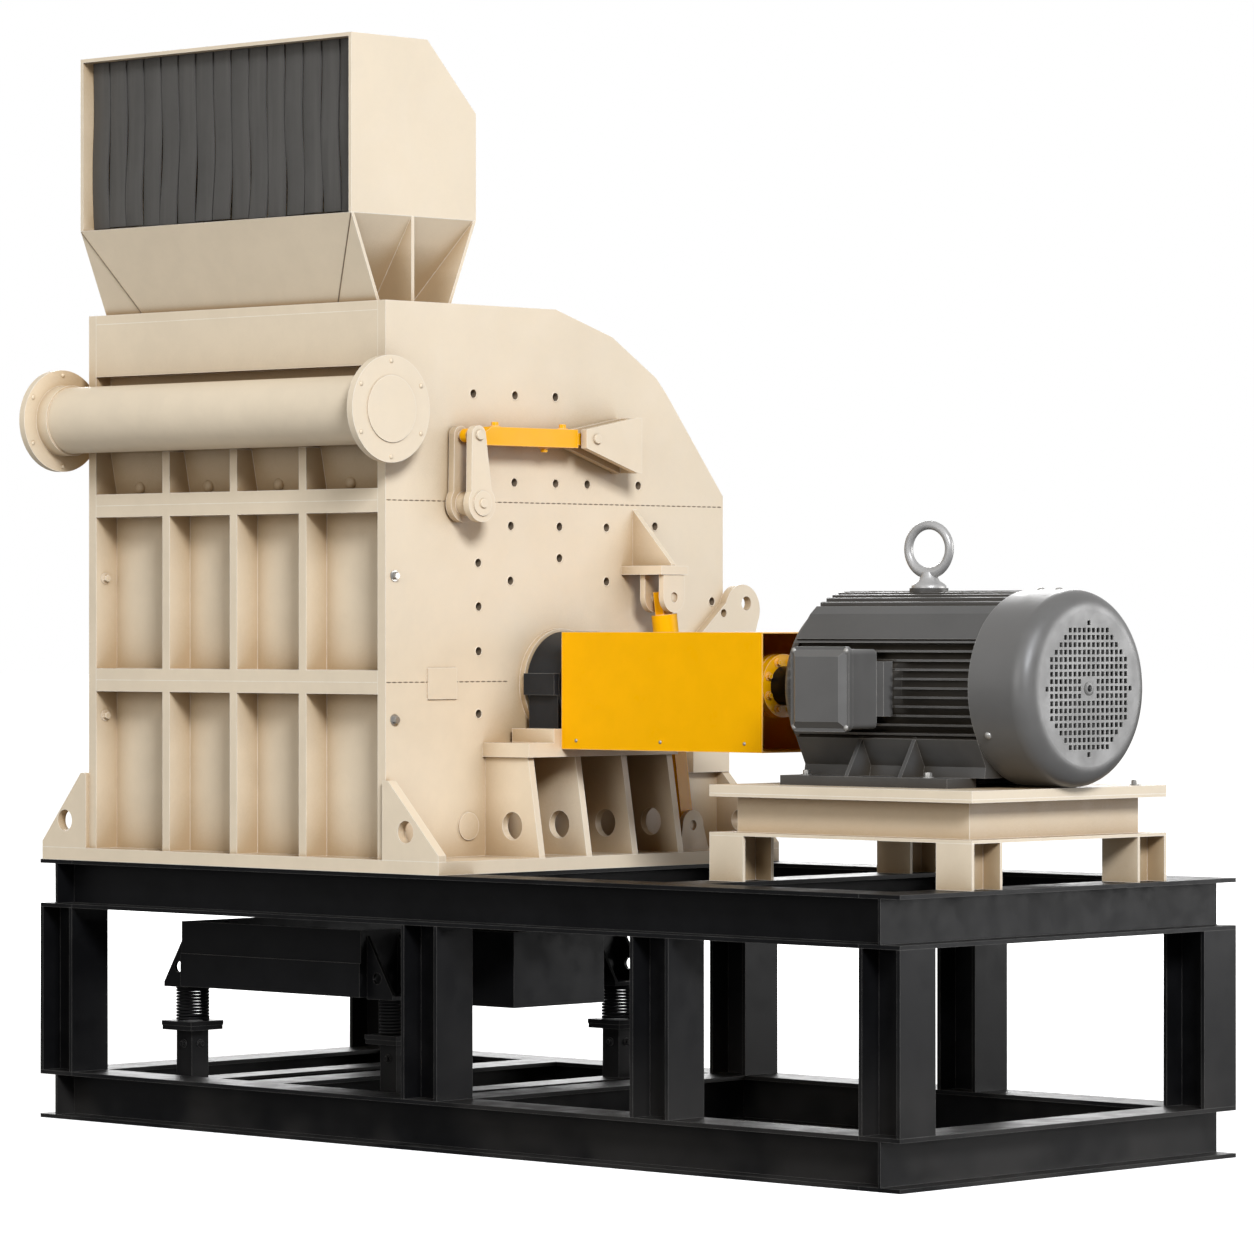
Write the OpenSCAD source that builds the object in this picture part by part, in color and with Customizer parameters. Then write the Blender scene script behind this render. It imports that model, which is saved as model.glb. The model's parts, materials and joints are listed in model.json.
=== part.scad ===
// Metal crusher: ribbed welded housing with an inlet hood, on a beam skid with a
// sprung vibrating tray underneath and a flange coupled motor beside it.
// X runs along the rotor towards the motor, -Y is the feed side, Z is up.

/* [Skid] */
// Width of the skid
skid_w = 1600; // [1590:5:1700]
// Height of the skid's top
skid_h = 870; // [850:5:950]
// Height of the skid's H section
beam_h = 160; // [140:5:180]
// Flange width of the skid's H section
beam_b = 160; // [150:5:170]
// Web thickness of the skid's H section
beam_web = 8; // [6:1:12]
// Flange thickness of the skid's H section
beam_flange = 13; // [8:1:16]
// From the skid's motor end to the middle columns
mid_column_in = 2000; // [1980:5:2010]
// From the skid's motor end to the columns under the motor base
motor_column_in = 1004; // [995:1:1010]
// Height and width of the sub beams under the springs
sub_beam = 125; // [110:1:130]
// Web thickness of the sub beams
sub_web = 6.5; // [5:0.5:9]
// Flange thickness of the sub beams
sub_flange = 9; // [7:0.5:12]

/* [Vibrating tray] */
// Width of the tray
tray_w = 860; // [780:10:880]
// Length of the tray from the feed side to the rear
tray_l = 1246; // [1100:2:1260]
// Height of the tray's underside
tray_z = 455; // [440:1:470]
// Height of the tray's walls
tray_h = 217; // [180:1:225]
// Plate thickness of the tray
tray_t = 8; // [6:1:12]
// Height of the band along the tray's front
tray_band_h = 110; // [80:5:140]
// Thickness of the band along the tray's front
tray_band_t = 6; // [4:1:10]
// How far the spring brackets reach out from the tray
bracket_out = 118; // [110:1:125]
// Height of the spring brackets
bracket_h = 205; // [160:5:215]
// Length of the bracket's foot plate
bracket_foot = 150; // [130:5:170]
// Plate thickness of the spring brackets
bracket_t = 12; // [8:1:16]
// Hole in the spring bracket
bracket_hole_d = 38; // [24:2:44]
// Outer diameter of the springs
spring_d = 112; // [100:2:114]
// Wire diameter of the springs
spring_wire = 9; // [7:1:10]
// Turns of the springs
spring_turns = 11; // [9:1:12]
// From the tray's side to a spring's axis
spring_out = 60; // [58:1:62]
// From the tray's middle to a spring's axis, along the tray
spring_pitch = 520; // [500:5:525]
// Length of the springs
spring_l = 115; // [110:1:125]
// Side of the square spring posts
post_side = 75; // [60:5:90]
// Side of the spring seats
seat_side = 150; // [130:5:160]
// Thickness of each of the two seat plates
seat_t = 15; // [10:1:20]
// Length of the exciter housing, away from the tray
exciter_l = 288; // [240:4:300]
// Width of the exciter housing
exciter_w = 423; // [360:5:460]
// Height of the exciter housing
exciter_h = 246; // [200:2:250]
// Height of the exciter housing's underside
exciter_z = 414; // [400:2:440]

/* [Base plate] */
// Base plate beyond the left side wall
base_left = 220; // [215:1:224]
// Base plate beyond the right side wall
base_right = 253; // [248:1:258]
// Thickness of the base plate
base_t = 42; // [30:1:50]
// Length of the discharge opening, along the rotor
discharge_l = 800; // [600:10:840]
// Width of the discharge opening
discharge_w = 1120; // [900:10:1160]

/* [Housing] */
// Width of the housing over its side walls
housing_w = 1424; // [1400:2:1440]
// From the skid's far end to the housing
housing_in = 230; // [225:1:240]
// From the rotor's plane to the housing's front
front_y = 785; // [770:1:790]
// From the rotor's plane to the housing's rear
rear_y = 798; // [785:1:799]
// Height of the housing's top
top_z = 2690; // [2670:5:2720]
// Thickness of the side walls
wall_t = 36; // [28:1:42]
// Thickness of the plates between the side walls
plate_t = 30; // [20:1:36]
// Thickness of the vertical ribs
rib_t = 34; // [24:1:40]
// Spacing of the vertical ribs
rib_pitch = 328; // [310:1:340]
// Depth of the pockets between the ribs
pocket_depth = 92; // [70:1:110]
// Height of the joint between the lower and the middle casing
joint_1_z = 1475; // [1460:1:1490]
// Height of the joint between the middle and the upper casing
joint_2_z = 2055; // [2040:1:2070]
// Thickness of each casing flange
flange_t = 38; // [28:1:42]
// Height where the front wall leans forward under the cross tube
lean_z = 2230; // [2200:1:2240]
// How far the front wall leans forward there
lean_y = 27; // [0:1:36]
// Height of the box above the cross tube
front_box_h = 205; // [180:1:215]
// End of the flat roof behind the rotor's plane
roof_flat_y = -10; // [-40:1:20]
// From the rotor's plane to the roof's first slope change
roof_1_y = 258; // [240:1:280]
// Drop of the roof there
roof_1_drop = 81; // [70:1:90]
// From the rotor's plane to the roof's second slope change
roof_2_y = 470; // [450:1:490]
// Drop of the roof there
roof_2_drop = 210; // [200:1:230]
// From the rotor's plane to the roof's last slope change
roof_3_y = 520; // [505:1:540]
// Drop of the roof there
roof_3_drop = 262; // [250:1:290]
// Height of the rear edge over the upper joint
roof_rear_up = 37; // [30:1:45]
// Thickness of the bosses round the shaft
boss_t = 21; // [12:1:30]
// Diameter of the bosses round the shaft
boss_d = 360; // [340:5:380]
// Diameter of the shaft hole in the side walls
shaft_hole_d = 166; // [156:2:200]
// Diameter of the holes in the side walls
wall_hole_d = 28; // [20:1:34]
// Diameter of the inspection cover in the side wall
cover_d = 90; // [70:2:100]
// Thickness of the inspection cover and the small plate
cover_t = 6; // [4:1:10]
// From the rotor's plane to the inspection cover
cover_y = 416; // [400:1:430]
// Height of the inspection cover over the base plate
cover_up = 98; // [90:1:110]
// From the rotor's plane to the small plate on the joint
patch_y = 471; // [460:1:480]
// Length of the small plate on the joint
patch_w = 129; // [110:1:140]
// Height of the small plate on the joint
patch_h = 100; // [80:2:110]

/* [Corner gussets] */
// Height of the corner gussets
corner_h = 252; // [200:2:270]
// Thickness of the corner gussets
corner_t = 35; // [25:1:40]
// Flat at the top of a corner gusset
corner_top = 25; // [15:1:60]
// Diameter of the hole in a corner gusset
corner_hole_d = 72; // [50:2:80]
// From the side wall to the hole in a corner gusset
corner_hole_out = 106; // [90:1:110]
// From the base plate up to the hole in a corner gusset
corner_hole_up = 91; // [70:1:96]

/* [Cross tube] */
// Outer diameter of the cross tube
tube_d = 220; // [200:1:225]
// Wall of the cross tube
tube_wall = 8; // [6:0.5:12]
// From the rotor's plane to the cross tube's axis
tube_y = 845; // [838:1:852]
// Height of the cross tube's axis
tube_z = 2340; // [2335:1:2350]
// Length of the cross tube over its flanges
tube_l = 1600; // [1560:5:1640]
// Diameter of the cross tube's flanges
tube_flange_d = 340; // [320:2:360]
// Thickness of the cross tube's flanges
tube_flange_t = 25; // [18:1:30]
// Diameter of the raised disc on a flange
tube_disc_d = 212; // [180:2:230]
// Height of the raised disc on a flange
tube_disc_t = 5; // [3:1:8]
// Diameter of the collar behind the far flange
collar_d = 234; // [230:1:250]
// Length of the collar behind the far flange
collar_l = 50; // [30:1:52]

/* [Inlet hood] */
// Width of the inlet hood
hood_w = 1300; // [1240:5:1340]
// From the rotor's plane to the hood's mouth
hood_front = 876; // [860:1:890]
// From the rotor's plane to the back end of the hood's flat top
hood_top_back = 538; // [500:1:560]
// From the rotor's plane to the hood's back
hood_back = 317; // [310:1:330]
// Height of the hood's lower edge
hood_z = 2967; // [2950:1:2980]
// Height of the hood's top
hood_top_z = 3538; // [3500:1:3560]
// Height of the hood's back wall
hood_back_z = 3313; // [3280:1:3340]
// Sheet thickness of the hood and chute
hood_t = 12; // [8:1:16]
// Strips in the curtain
strips = 15; // [12:1:18]
// Thickness of the curtain's strips
strip_t = 8; // [5:1:12]
// From the hood's mouth to the curtain
curtain_in = 36; // [20:1:50]
// From the rotor's plane to the chute's lower front edge
chute_front = 762; // [750:1:770]
// From the rotor's plane to the chute's lower back edge
chute_back = 432; // [425:1:445]
// How far the chute's sides lean in
chute_side_in = 180; // [150:1:200]
// From the rotor's plane to the chute's side rib
chute_rib_y = 603; // [590:1:620]

/* [Bearings] */
// Height of the rotor's axis
rotor_z = 1466; // [1460:1:1470]
// Spacing of the inner pedestal ribs
ped_inner = 216; // [190:2:240]
// Spacing of the outer pedestal ribs
ped_outer = 650; // [620:2:670]
// Thickness of the pedestal ribs
ped_rib_t = 25; // [18:1:30]
// Height of the pedestal ribs
ped_rib_h = 321; // [315:1:325]
// Reach of a pedestal rib at its top
ped_top_out = 194; // [180:1:205]
// Clear edge of the base plate outside a pedestal rib
ped_edge = 6; // [3:1:12]
// Diameter of the holes in the pedestal ribs
ped_hole_d = 90; // [70:2:100]
// Reach of the pedestal's top plate
ped_plate_out = 211; // [208:1:214]
// Width of the pedestal's top plate
ped_plate_w = 700; // [680:2:720]
// Thickness of the pedestal's top plate
ped_plate_t = 45; // [40:1:48]
// Width of the sole plate
sole_w = 470; // [440:2:500]
// Length of a bearing housing along the rotor
bearing_l = 154; // [140:1:160]
// Width of a bearing housing's body
bearing_body_w = 336; // [320:2:344]
// Width of a bearing housing over the cap's lugs
bearing_lug_w = 380; // [350:2:390]
// Height of a bearing housing's lugs
bearing_lug_h = 70; // [50:2:80]
// Diameter of a bearing housing's cap
bearing_cap_d = 340; // [330:2:350]
// Diameter of a bearing housing's end rings
bearing_ring_d = 200; // [180:2:240]
// From the rotor's axis down to the bearing's foot
bearing_drop = 143; // [140:1:146]
// Diameter of the rotor shaft in its bearings
shaft_d = 140; // [120:1:144]
// Diameter of the rotor shaft's end towards the coupling
shaft_end_d = 90; // [70:1:100]
// Radial clearance of a shaft in its bearing
running_gap = 0.05; // [0.02:0.01:0.1]

/* [Coupling and guard] */
// Length of the coupling guard
guard_l = 871; // [860:1:880]
// Width of the coupling guard
guard_w = 400; // [380:2:440]
// Height of the coupling guard's underside
guard_z = 1258; // [1254:1:1262]
// Height of the coupling guard
guard_h = 377; // [360:1:390]
// Sheet thickness of the coupling guard
guard_t = 4; // [3:1:6]
// From the guard's open end back to the coupling's face
coupling_in = 114; // [100:1:130]
// Diameter of the coupling's flanges
coupling_d = 200; // [180:2:220]
// Thickness of each coupling flange
coupling_flange_t = 22; // [16:1:28]
// Diameter of the coupling's barrel
barrel_d = 112; // [106:1:130]
// Length of the coupling's barrel
barrel_l = 130; // [100:2:160]
// Diameter of the hub on the motor's side
motor_hub_d = 124; // [110:1:130]
// Length of the hub on the motor's side
motor_hub_l = 150; // [120:2:170]

/* [Link gear] */
// Height of the upper link pins
link_z = 2265; // [2262:1:2268]
// From the rotor's plane to the arm's upper pin
arm_pin_y = 481; // [475:1:487]
// Height of the arm's lower boss
arm_boss_z = 2047; // [2040:1:2052]
// From the rotor's plane to the arm's lower boss
arm_boss_y = 467; // [460:1:474]
// Diameter of the arm's upper end
arm_top_d = 62; // [56:1:70]
// Diameter of the arm's lower end
arm_boss_d = 120; // [110:1:130]
// Thickness of a link arm
arm_t = 25; // [20:1:28]
// From the side wall to the inner arm
arm_out = 10; // [6:1:14]
// Clear width between the arms
arm_gap = 56; // [50:1:60]
// Diameter of the link pins
link_pin_d = 28; // [20:1:32]
// Diameter of the pivot boss between wall and arms
pivot_d = 80; // [60:1:90]
// From the rotor's plane to the bar's end pin in its bracket
bar_pin_y = 62; // [55:1:70]
// Height of the bar
bar_h = 60; // [50:1:64]
// From the rotor's plane to the bar's front face
bar_front = 436; // [425:1:440]
// How far the bar's square part stops short of the bracket
bar_short = 14; // [10:1:20]
// From the rotor's plane to the bracket's front
cheek_front = 16; // [12:1:20]
// Length of the bracket's cheeks
cheek_l = 242; // [230:2:260]
// Height of a cheek at its front
cheek_front_h = 61; // [56:1:66]
// Height of a cheek at its rear
cheek_rear_h = 182; // [160:2:190]

/* [Struts] */
// From the rotor's plane to the strut's upper pin
strut_top_y = 365; // [355:1:375]
// Height of the strut's upper pin
strut_top_z = 1749; // [1744:1:1754]
// From the side wall to the strut's upper pin
strut_top_out = 126; // [124:1:128]
// From the rotor's plane to the strut's lower pin
strut_low_y = 430; // [425:1:440]
// Height of the strut's lower pin over the base plate
strut_low_up = 85; // [80:1:90]
// From the side wall to the strut's lower pin
strut_low_out = 171; // [168:1:174]
// Diameter of the strut's barrel
strut_d = 85; // [70:1:88]
// Length of the strut's barrel
strut_l = 400; // [380:5:440]
// Width of the strut's flat bar
strut_bar_w = 56; // [46:1:60]
// Thickness of the strut's flat bar
strut_bar_t = 22; // [18:1:23]
// Diameter of the strut's pins
strut_pin_d = 34; // [26:1:36]
// How deep a pin's end lies in its ear
pin_in = 8; // [4:1:12]
// Thickness of the strut's upper ears
ear_t = 22; // [18:1:25]
// Clear width between the strut's upper ears
ear_gap = 63; // [56:1:66]
// Width of the strut's upper ears
ear_w = 100; // [90:2:110]
// Width of the strut's lower lugs
lug_w = 98; // [90:2:104]
// Clear width between the strut's lower lugs
lug_gap = 31; // [30:1:34]
// Thickness of the strut's lower lugs
lug_t = 18; // [14:1:20]
// Thickness of the shelf over the strut
shelf_t = 29; // [22:1:34]
// Height of the shelf over the strut
shelf_z = 1824; // [1818:1:1830]
// Width of the shelf over the strut
shelf_w = 128; // [120:1:140]
// Reach of the shelf from the side wall
shelf_out = 183; // [180:1:195]
// Height of the gusset on the shelf
shelf_gusset_h = 188; // [170:1:200]

/* [Rear ears] */
// From the rotor's plane to the rear ear's hole
ear_hole_y = 883; // [875:1:890]
// Height of the rear ear's hole
ear_hole_z = 1731; // [1720:1:1740]
// Diameter of the rear ear's hole
ear_hole_d = 48; // [36:1:56]
// Diameter of the rear ear's round end
ear_round_d = 172; // [160:1:184]
// From the rear ear's hole forward to the round end's centre
ear_round_in = 18; // [10:1:26]
// From the rear ear's hole down to the round end's centre
ear_round_drop = 22; // [14:1:28]
// Fall of the rear ear's front edge for each length forward
ear_fall = 0.84; // [0.7:0.01:1]
// Thickness of the rear ears
ear_plate_t = 30; // [20:1:34]
// How far a rear ear's plate laps the side wall
ear_lap = 178; // [160:1:200]
// From the rear ear's hole forward to its small hole
ear_small_in = 113; // [105:1:118]
// From the rear ear's hole down to its small hole
ear_small_drop = 33; // [25:1:40]

/* [Motor base] */
// Length of the motor base
mbase_l = 1055; // [1045:1:1060]
// Width of the motor base
mbase_w = 926; // [880:2:1000]
// From the guard's open end to the motor base
mbase_gap = 19; // [15:1:25]
// From the skid's motor end to the motor base
mbase_in = 10; // [5:1:15]
// Height and width of the motor base's leg section
leg_side = 140; // [130:1:145]
// Height of the motor base's legs
leg_h = 140; // [120:1:160]
// Height of the motor base's beams
mbeam_h = 130; // [110:1:140]
// Flange width of the motor base's beams
mbeam_b = 130; // [110:1:140]
// Web thickness of the motor base's beams and legs
mbeam_web = 7; // [5:0.5:10]
// Flange thickness of the motor base's beams and legs
mbeam_flange = 10; // [8:0.5:14]
// Thickness of the motor base's top plate
mplate_t = 26; // [20:1:32]

/* [Motor] */
// From the motor base's start to the motor frame
frame_in = 173; // [165:1:180]
// Diameter of the fan cowl
cowl_d = 596; // [560:2:598]
// Length of the fan cowl
cowl_l = 224; // [200:1:240]
// Radius of the fan cowl's edge
cowl_round = 62; // [40:1:80]
// Sheet thickness of the fan cowl
cowl_t = 5; // [3:0.5:8]
// Diameter of the grille in the fan cowl
grille_d = 412; // [380:2:430]
// Spacing of the grille's holes
grille_pitch = 22; // [20:1:26]
// Side of the grille's holes
grille_hole = 15; // [12:1:16]
// Diameter of the grille's hub
grille_hub_d = 72; // [60:2:90]
// Length of the finned motor frame
frame_l = 727; // [700:1:740]
// Diameter of the motor over its fins
fin_d = 594; // [560:2:596]
// Diameter of the motor frame under its fins
core_d = 524; // [480:2:540]
// Thickness of the fins
fin_t = 6; // [4:0.5:8]
// Spacing of the fins
fin_pitch = 28; // [24:1:34]
// Length of the motor's end bell
bell_l = 58; // [45:1:70]
// Diameter of the end bell's face
bell_face_d = 440; // [400:2:480]
// Thickness of the motor's feet
foot_t = 30; // [22:1:36]
// From the rotor's plane to the outer edge of the feet
foot_out = 330; // [310:1:350]
// Length of the motor's feet
foot_l = 672; // [640:2:700]
// Width of the terminal box
tbox_w = 236; // [200:2:260]
// Height of the terminal box
tbox_h = 258; // [230:2:270]
// From the rotor's plane to the terminal box's lid
tbox_out = 450; // [430:1:480]
// Height of the terminal box's lower edge over the motor's axis
tbox_low = -132; // [-140:1:-120]
// Thickness of the terminal box's lid
tbox_lid = 34; // [26:1:40]
// Corner radius of the terminal box's lid
tbox_round = 24; // [10:1:30]
// From the motor frame's start to the terminal box
tbox_in = 138; // [120:1:150]
// Outer diameter of the eye bolt's ring
eye_d = 176; // [160:1:190]
// Height of the eye bolt's base
eye_base_h = 38; // [30:1:45]
// Turn of the eye bolt's ring, in degrees
eye_turn = 8.5; // [0:0.5:20]
// Wire diameter of the eye bolt's ring
eye_wire = 28; // [20:1:34]

/* [Hidden] */
$fn = 48;

// Skid, in the frame centred on the skid
skid_l = housing_in + housing_w + ped_plate_out + guard_l + mbase_gap + mbase_l + mbase_in;
skid_x = skid_l / 2;
skid_y = skid_w / 2;
web_y = skid_y - beam_b / 2;
mid_column_x = skid_x - mid_column_in;
motor_column_x = skid_x - motor_column_in;
column_xs = [-skid_x + beam_h / 2, mid_column_x, motor_column_x, skid_x - beam_h / 2];

// Housing
house_x = -skid_x + housing_in + housing_w / 2;
wall_x = housing_w / 2;
inner_x = wall_x - wall_t;
base_x0 = house_x - wall_x - base_left;
base_x1 = house_x + wall_x + base_right;
base_z = skid_h + base_t;
roof = [[-front_y, top_z], [roof_flat_y, top_z], [roof_1_y, top_z - roof_1_drop],
    [roof_2_y, top_z - roof_2_drop], [roof_3_y, top_z - roof_3_drop],
    [rear_y, joint_2_z + roof_rear_up], [rear_y, base_z]];
wall_holes = [[-391, 2403], [-200, 2403], [-12, 2403], [-203, 2120], [-11, 2120], [138, 2120],
    [382, 2120], [-219, 1979], [7, 1979], [230, 1979], [463, 1986], [-369, 1858], [7, 1876],
    [-221, 1801], [230, 1801], [-367, 1717], [-367, 1573], [-367, 1371],
    [743, 1737]];

// Running parts
guard_x0 = house_x + wall_x + ped_plate_out;
guard_x1 = guard_x0 + guard_l;
coupling_x = guard_x1 - coupling_in;

// Motor
mbase_x1 = skid_x - mbase_in;
mbase_x0 = mbase_x1 - mbase_l;
mbase_z = skid_h + leg_h + mbeam_h;
mtop_z = mbase_z + mplate_t;
frame_x = mbase_x0 + frame_in;
cowl_x = frame_x + frame_l;
bell_x = frame_x - bell_l;

// Origin at the middle of the outline, on the ground
out_x1 = cowl_x + cowl_l;
out_y0 = -tube_y - tube_flange_d / 2;
out_y1 = ear_hole_y - ear_round_in + ear_round_d / 2;
shift_x = (skid_x - out_x1) / 2;
shift_y = -(out_y0 + out_y1) / 2;

black = "#1c1c1e";
cream = "#e6dac4";
yellow = "#f6b000";
grey = "#5b5c5e";
dark_grey = "#3c3d40";

// Geometry helpers

function unit(v) = v / norm(v);
function inward(a, b) = let (d = unit(b - a)) [d[1], -d[0]];
function mitre(p, i, t) =
    let (n1 = inward(p[max(i - 1, 0)], p[max(i, 1)]),
         n2 = inward(p[min(i, len(p) - 2)], p[min(i + 1, len(p) - 1)]))
    p[i] + t * (n1 + n2) / (1 + n1 * n2);
function inset(p, t) = [for (i = [0:len(p) - 1]) mitre(p, i, t)];
function reversed(p) = [for (i = [len(p) - 1:-1:0]) p[i]];
function band(p, t) = concat(p, reversed(inset(p, t)));

module placed() {
    translate([shift_x, shift_y, 0]) children();
}

// Extrudes a (y, z) outline from x0 to x1
module along_x(x0, x1) {
    translate([x0, 0, 0]) rotate([90, 0, 90]) linear_extrude(x1 - x0) children();
}

// Extrudes an (x, z) outline from y0 to y1
module along_y(y0, y1) {
    translate([0, y1, 0]) rotate([90, 0, 0]) linear_extrude(y1 - y0) children();
}

// Extrudes an (x, y) outline from z0 to z1
module along_z(z0, z1) {
    translate([0, 0, z0]) linear_extrude(z1 - z0) children();
}

module rect(x0, x1, y0, y1) {
    translate([x0, y0]) square([x1 - x0, y1 - y0]);
}

module block(x0, x1, y0, y1, z0, z1) {
    translate([x0, y0, z0]) cube([x1 - x0, y1 - y0, z1 - z0]);
}

module rod_x(x0, x1, y, z, d) {
    translate([x0, y, z]) rotate([0, 90, 0]) cylinder(h = x1 - x0, d = d);
}

module h_section(h, b, web, flange) {
    rect(-b / 2, b / 2, -h / 2, -h / 2 + flange);
    rect(-b / 2, b / 2, h / 2 - flange, h / 2);
    rect(-web / 2, web / 2, -h / 2, h / 2);
}

// Draws its children on the motor side of the housing and mirrored on the far side,
// in a frame whose x is measured outwards from the side wall's face
module both_sides() {
    translate([house_x + wall_x, 0, 0]) children();
    translate([house_x - wall_x, 0, 0]) mirror([1, 0, 0]) children();
}

// Skid

module skid_section() {
    h_section(beam_h, beam_b, beam_web, beam_flange);
}

module long_beams(z) {
    for (side = [-1, 1]) {
        along_x(-skid_x + beam_b, skid_x - beam_b) translate([side * web_y, z]) skid_section();
        along_x(-skid_x + (beam_b + beam_web) / 2, skid_x - (beam_b + beam_web) / 2)
            translate([side * web_y, z])
                square([beam_web, beam_h - 2 * beam_flange], center = true);
    }
}

module end_beams(z) {
    for (side = [-1, 1])
        along_y(-skid_y, skid_y) translate([side * (skid_x - beam_b / 2), z]) skid_section();
}

module cross_beam(x, z) {
    along_y(-skid_y + beam_b, skid_y - beam_b) translate([x, z]) skid_section();
    along_y(-web_y + beam_web / 2, web_y - beam_web / 2)
        translate([x, z]) square([beam_web, beam_h - 2 * beam_flange], center = true);
}

module lower_long_beams() {
    color(black) placed() long_beams(beam_h / 2);
}

module lower_end_beams() {
    color(black) placed() end_beams(beam_h / 2);
}

module lower_cross_beams() {
    color(black) placed() {
        for (x = [house_x, mid_column_x]) cross_beam(x, beam_h / 2);
        for (side = [-1, 1])
            along_y(-web_y + beam_web / 2, web_y - beam_web / 2)
                translate([house_x + side * spring_x, beam_flange + sub_beam / 2])
                    h_section(sub_beam, sub_beam, sub_web, sub_flange);
    }
}

module columns() {
    color(black) placed()
        for (x = column_xs, side = [-1, 1])
            along_z(beam_h, skid_h - beam_h) translate([x, side * web_y]) rotate(90) skid_section();
}

module upper_long_beams() {
    color(black) placed() long_beams(skid_h - beam_h / 2);
}

module upper_end_beams() {
    color(black) placed() end_beams(skid_h - beam_h / 2);
}

module upper_cross_beams() {
    color(black) placed()
        for (x = [mid_column_x, motor_column_x]) cross_beam(x, skid_h - beam_h / 2);
}

// Vibrating tray

spring_x = tray_w / 2 + spring_out;
post_z = beam_flange + sub_beam;
foot_z = tray_z - bracket_t / 2;
seat_z = foot_z - spring_l;
tray_y = tray_l / 2;

module at_springs() {
    for (sx = [-1, 1], sy = [-1, 1])
        translate([house_x + sx * spring_x, sy * spring_pitch, 0]) children();
}

module spring_posts() {
    color(black) placed() at_springs() {
        block(-post_side / 2, post_side / 2, -post_side / 2, post_side / 2, post_z, seat_z - 2 * seat_t);
        for (k = [1, 2])
            block(-seat_side / 2 + 2 * k, seat_side / 2 - 2 * k, -seat_side / 2 + 2 * k,
                seat_side / 2 - 2 * k, seat_z - k * seat_t, seat_z - (k - 1) * seat_t);
    }
}

module tray_pan() {
    x = tray_w / 2;
    top = tray_z + tray_h;
    color(black) placed() translate([house_x, 0, 0]) {
        block(-x, x, -tray_y, tray_y, tray_z, tray_z + tray_t);
        for (side = [-1, 1])
            translate([side * (x - tray_t / 2), 0, 0])
                block(-tray_t / 2, tray_t / 2, -tray_y, tray_y, tray_z, top);
        block(-x, x, -tray_y, -tray_y + tray_t, tray_z, top);
        block(-x, x, -tray_y - tray_band_t, -tray_y, tray_z, tray_z + tray_band_h);
    }
}

module tray_brackets() {
    top = foot_z + bracket_h;
    color(black) placed()
        for (sx = [0, 1], sy = [-1, 1])
            translate([house_x, sy * spring_pitch, 0]) mirror([sx, 0, 0]) translate([tray_w / 2, 0, 0]) {
                block(0, bracket_out, -bracket_foot / 2, bracket_foot / 2, foot_z, foot_z + bracket_t);
                for (y = [-bracket_foot / 2, bracket_foot / 2 - bracket_t])
                    along_y(y, y + bracket_t) difference() {
                        polygon([[0, foot_z + bracket_t / 2], [bracket_out, foot_z + bracket_t / 2],
                            [bracket_out, foot_z + bracket_t + 4], [0, top]]);
                        translate([bracket_out * 0.4, foot_z + bracket_h * 0.33])
                            circle(d = bracket_hole_d);
                    }
            }
}

module exciter_housing() {
    x0 = house_x + tray_w / 2;
    color(black) placed()
        block(x0, x0 + exciter_l, -exciter_w / 2, exciter_w / 2, exciter_z, exciter_z + exciter_h);
}

seat_gap = 0.3;

// Sweeps the wire's ring of corners along a helix; the end turns lie on the seats
wire_sides = 6;
turn_steps = 12;
function coil_point(i, k) =
    let (a = 360 * i / turn_steps, b = 360 * (k + 0.5) / wire_sides,
         n = spring_turns * turn_steps,
         rise = (spring_l - spring_wire - seat_gap) * i / n,
         r = (spring_d - spring_wire + spring_wire * cos(b)) / 2)
    [r * cos(a), r * sin(a), seat_z + (seat_gap + spring_wire) / 2 + rise + spring_wire / 2 * sin(b)];

module coil() {
    n = spring_turns * turn_steps;
    points = [for (i = [0:n], k = [0:wire_sides - 1]) coil_point(i, k)];
    start = [for (k = [0:wire_sides - 1]) k];
    end = [for (k = [wire_sides - 1:-1:0]) n * wire_sides + k];
    sides = [for (i = [0:n - 1], k = [0:wire_sides - 1])
        let (j = (k + 1) % wire_sides)
        [i * wire_sides + k, (i + 1) * wire_sides + k, (i + 1) * wire_sides + j, i * wire_sides + j]];
    polyhedron(points, concat([start, end], sides));
}

module tray_springs() {
    color(black) placed() at_springs() coil();
}

// Housing

module base_plate() {
    color(cream) placed() difference() {
        block(base_x0, base_x1, -skid_y, skid_y, skid_h, base_z);
        block(house_x - discharge_l / 2, house_x + discharge_l / 2,
            -discharge_w / 2, discharge_w / 2, skid_h - 1, base_z + 1);
    }
}

// One side wall in the both_sides frame, with its boss and inspection cover
module side_wall() {
    difference() {
        union() {
            along_x(-wall_t, 0) polygon(concat([[-front_y, base_z]], roof));
            rod_x(0, boss_t, 0, rotor_z, boss_d);
            rod_x(0, cover_t, -cover_y, base_z + cover_up, cover_d);
            block(0, cover_t, -patch_y - patch_w, -patch_y,
                joint_1_z - patch_h * 0.55, joint_1_z + patch_h * 0.45);
        }
        rod_x(-wall_t - 1, boss_t + 1, 0, rotor_z, shaft_hole_d);
        rod_x(-wall_t - 1, 1, -tube_y, tube_z, tube_d + 0.6);
        for (p = wall_holes) rod_x(-wall_t - 1, 1, p[0], p[1], wall_hole_d);
    }
}

module side_wall_right() {
    color(cream) placed() translate([house_x + wall_x, 0, 0]) side_wall();
}

module side_wall_left() {
    color(cream) placed() translate([house_x - wall_x, 0, 0]) mirror([1, 0, 0]) side_wall();
}

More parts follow.
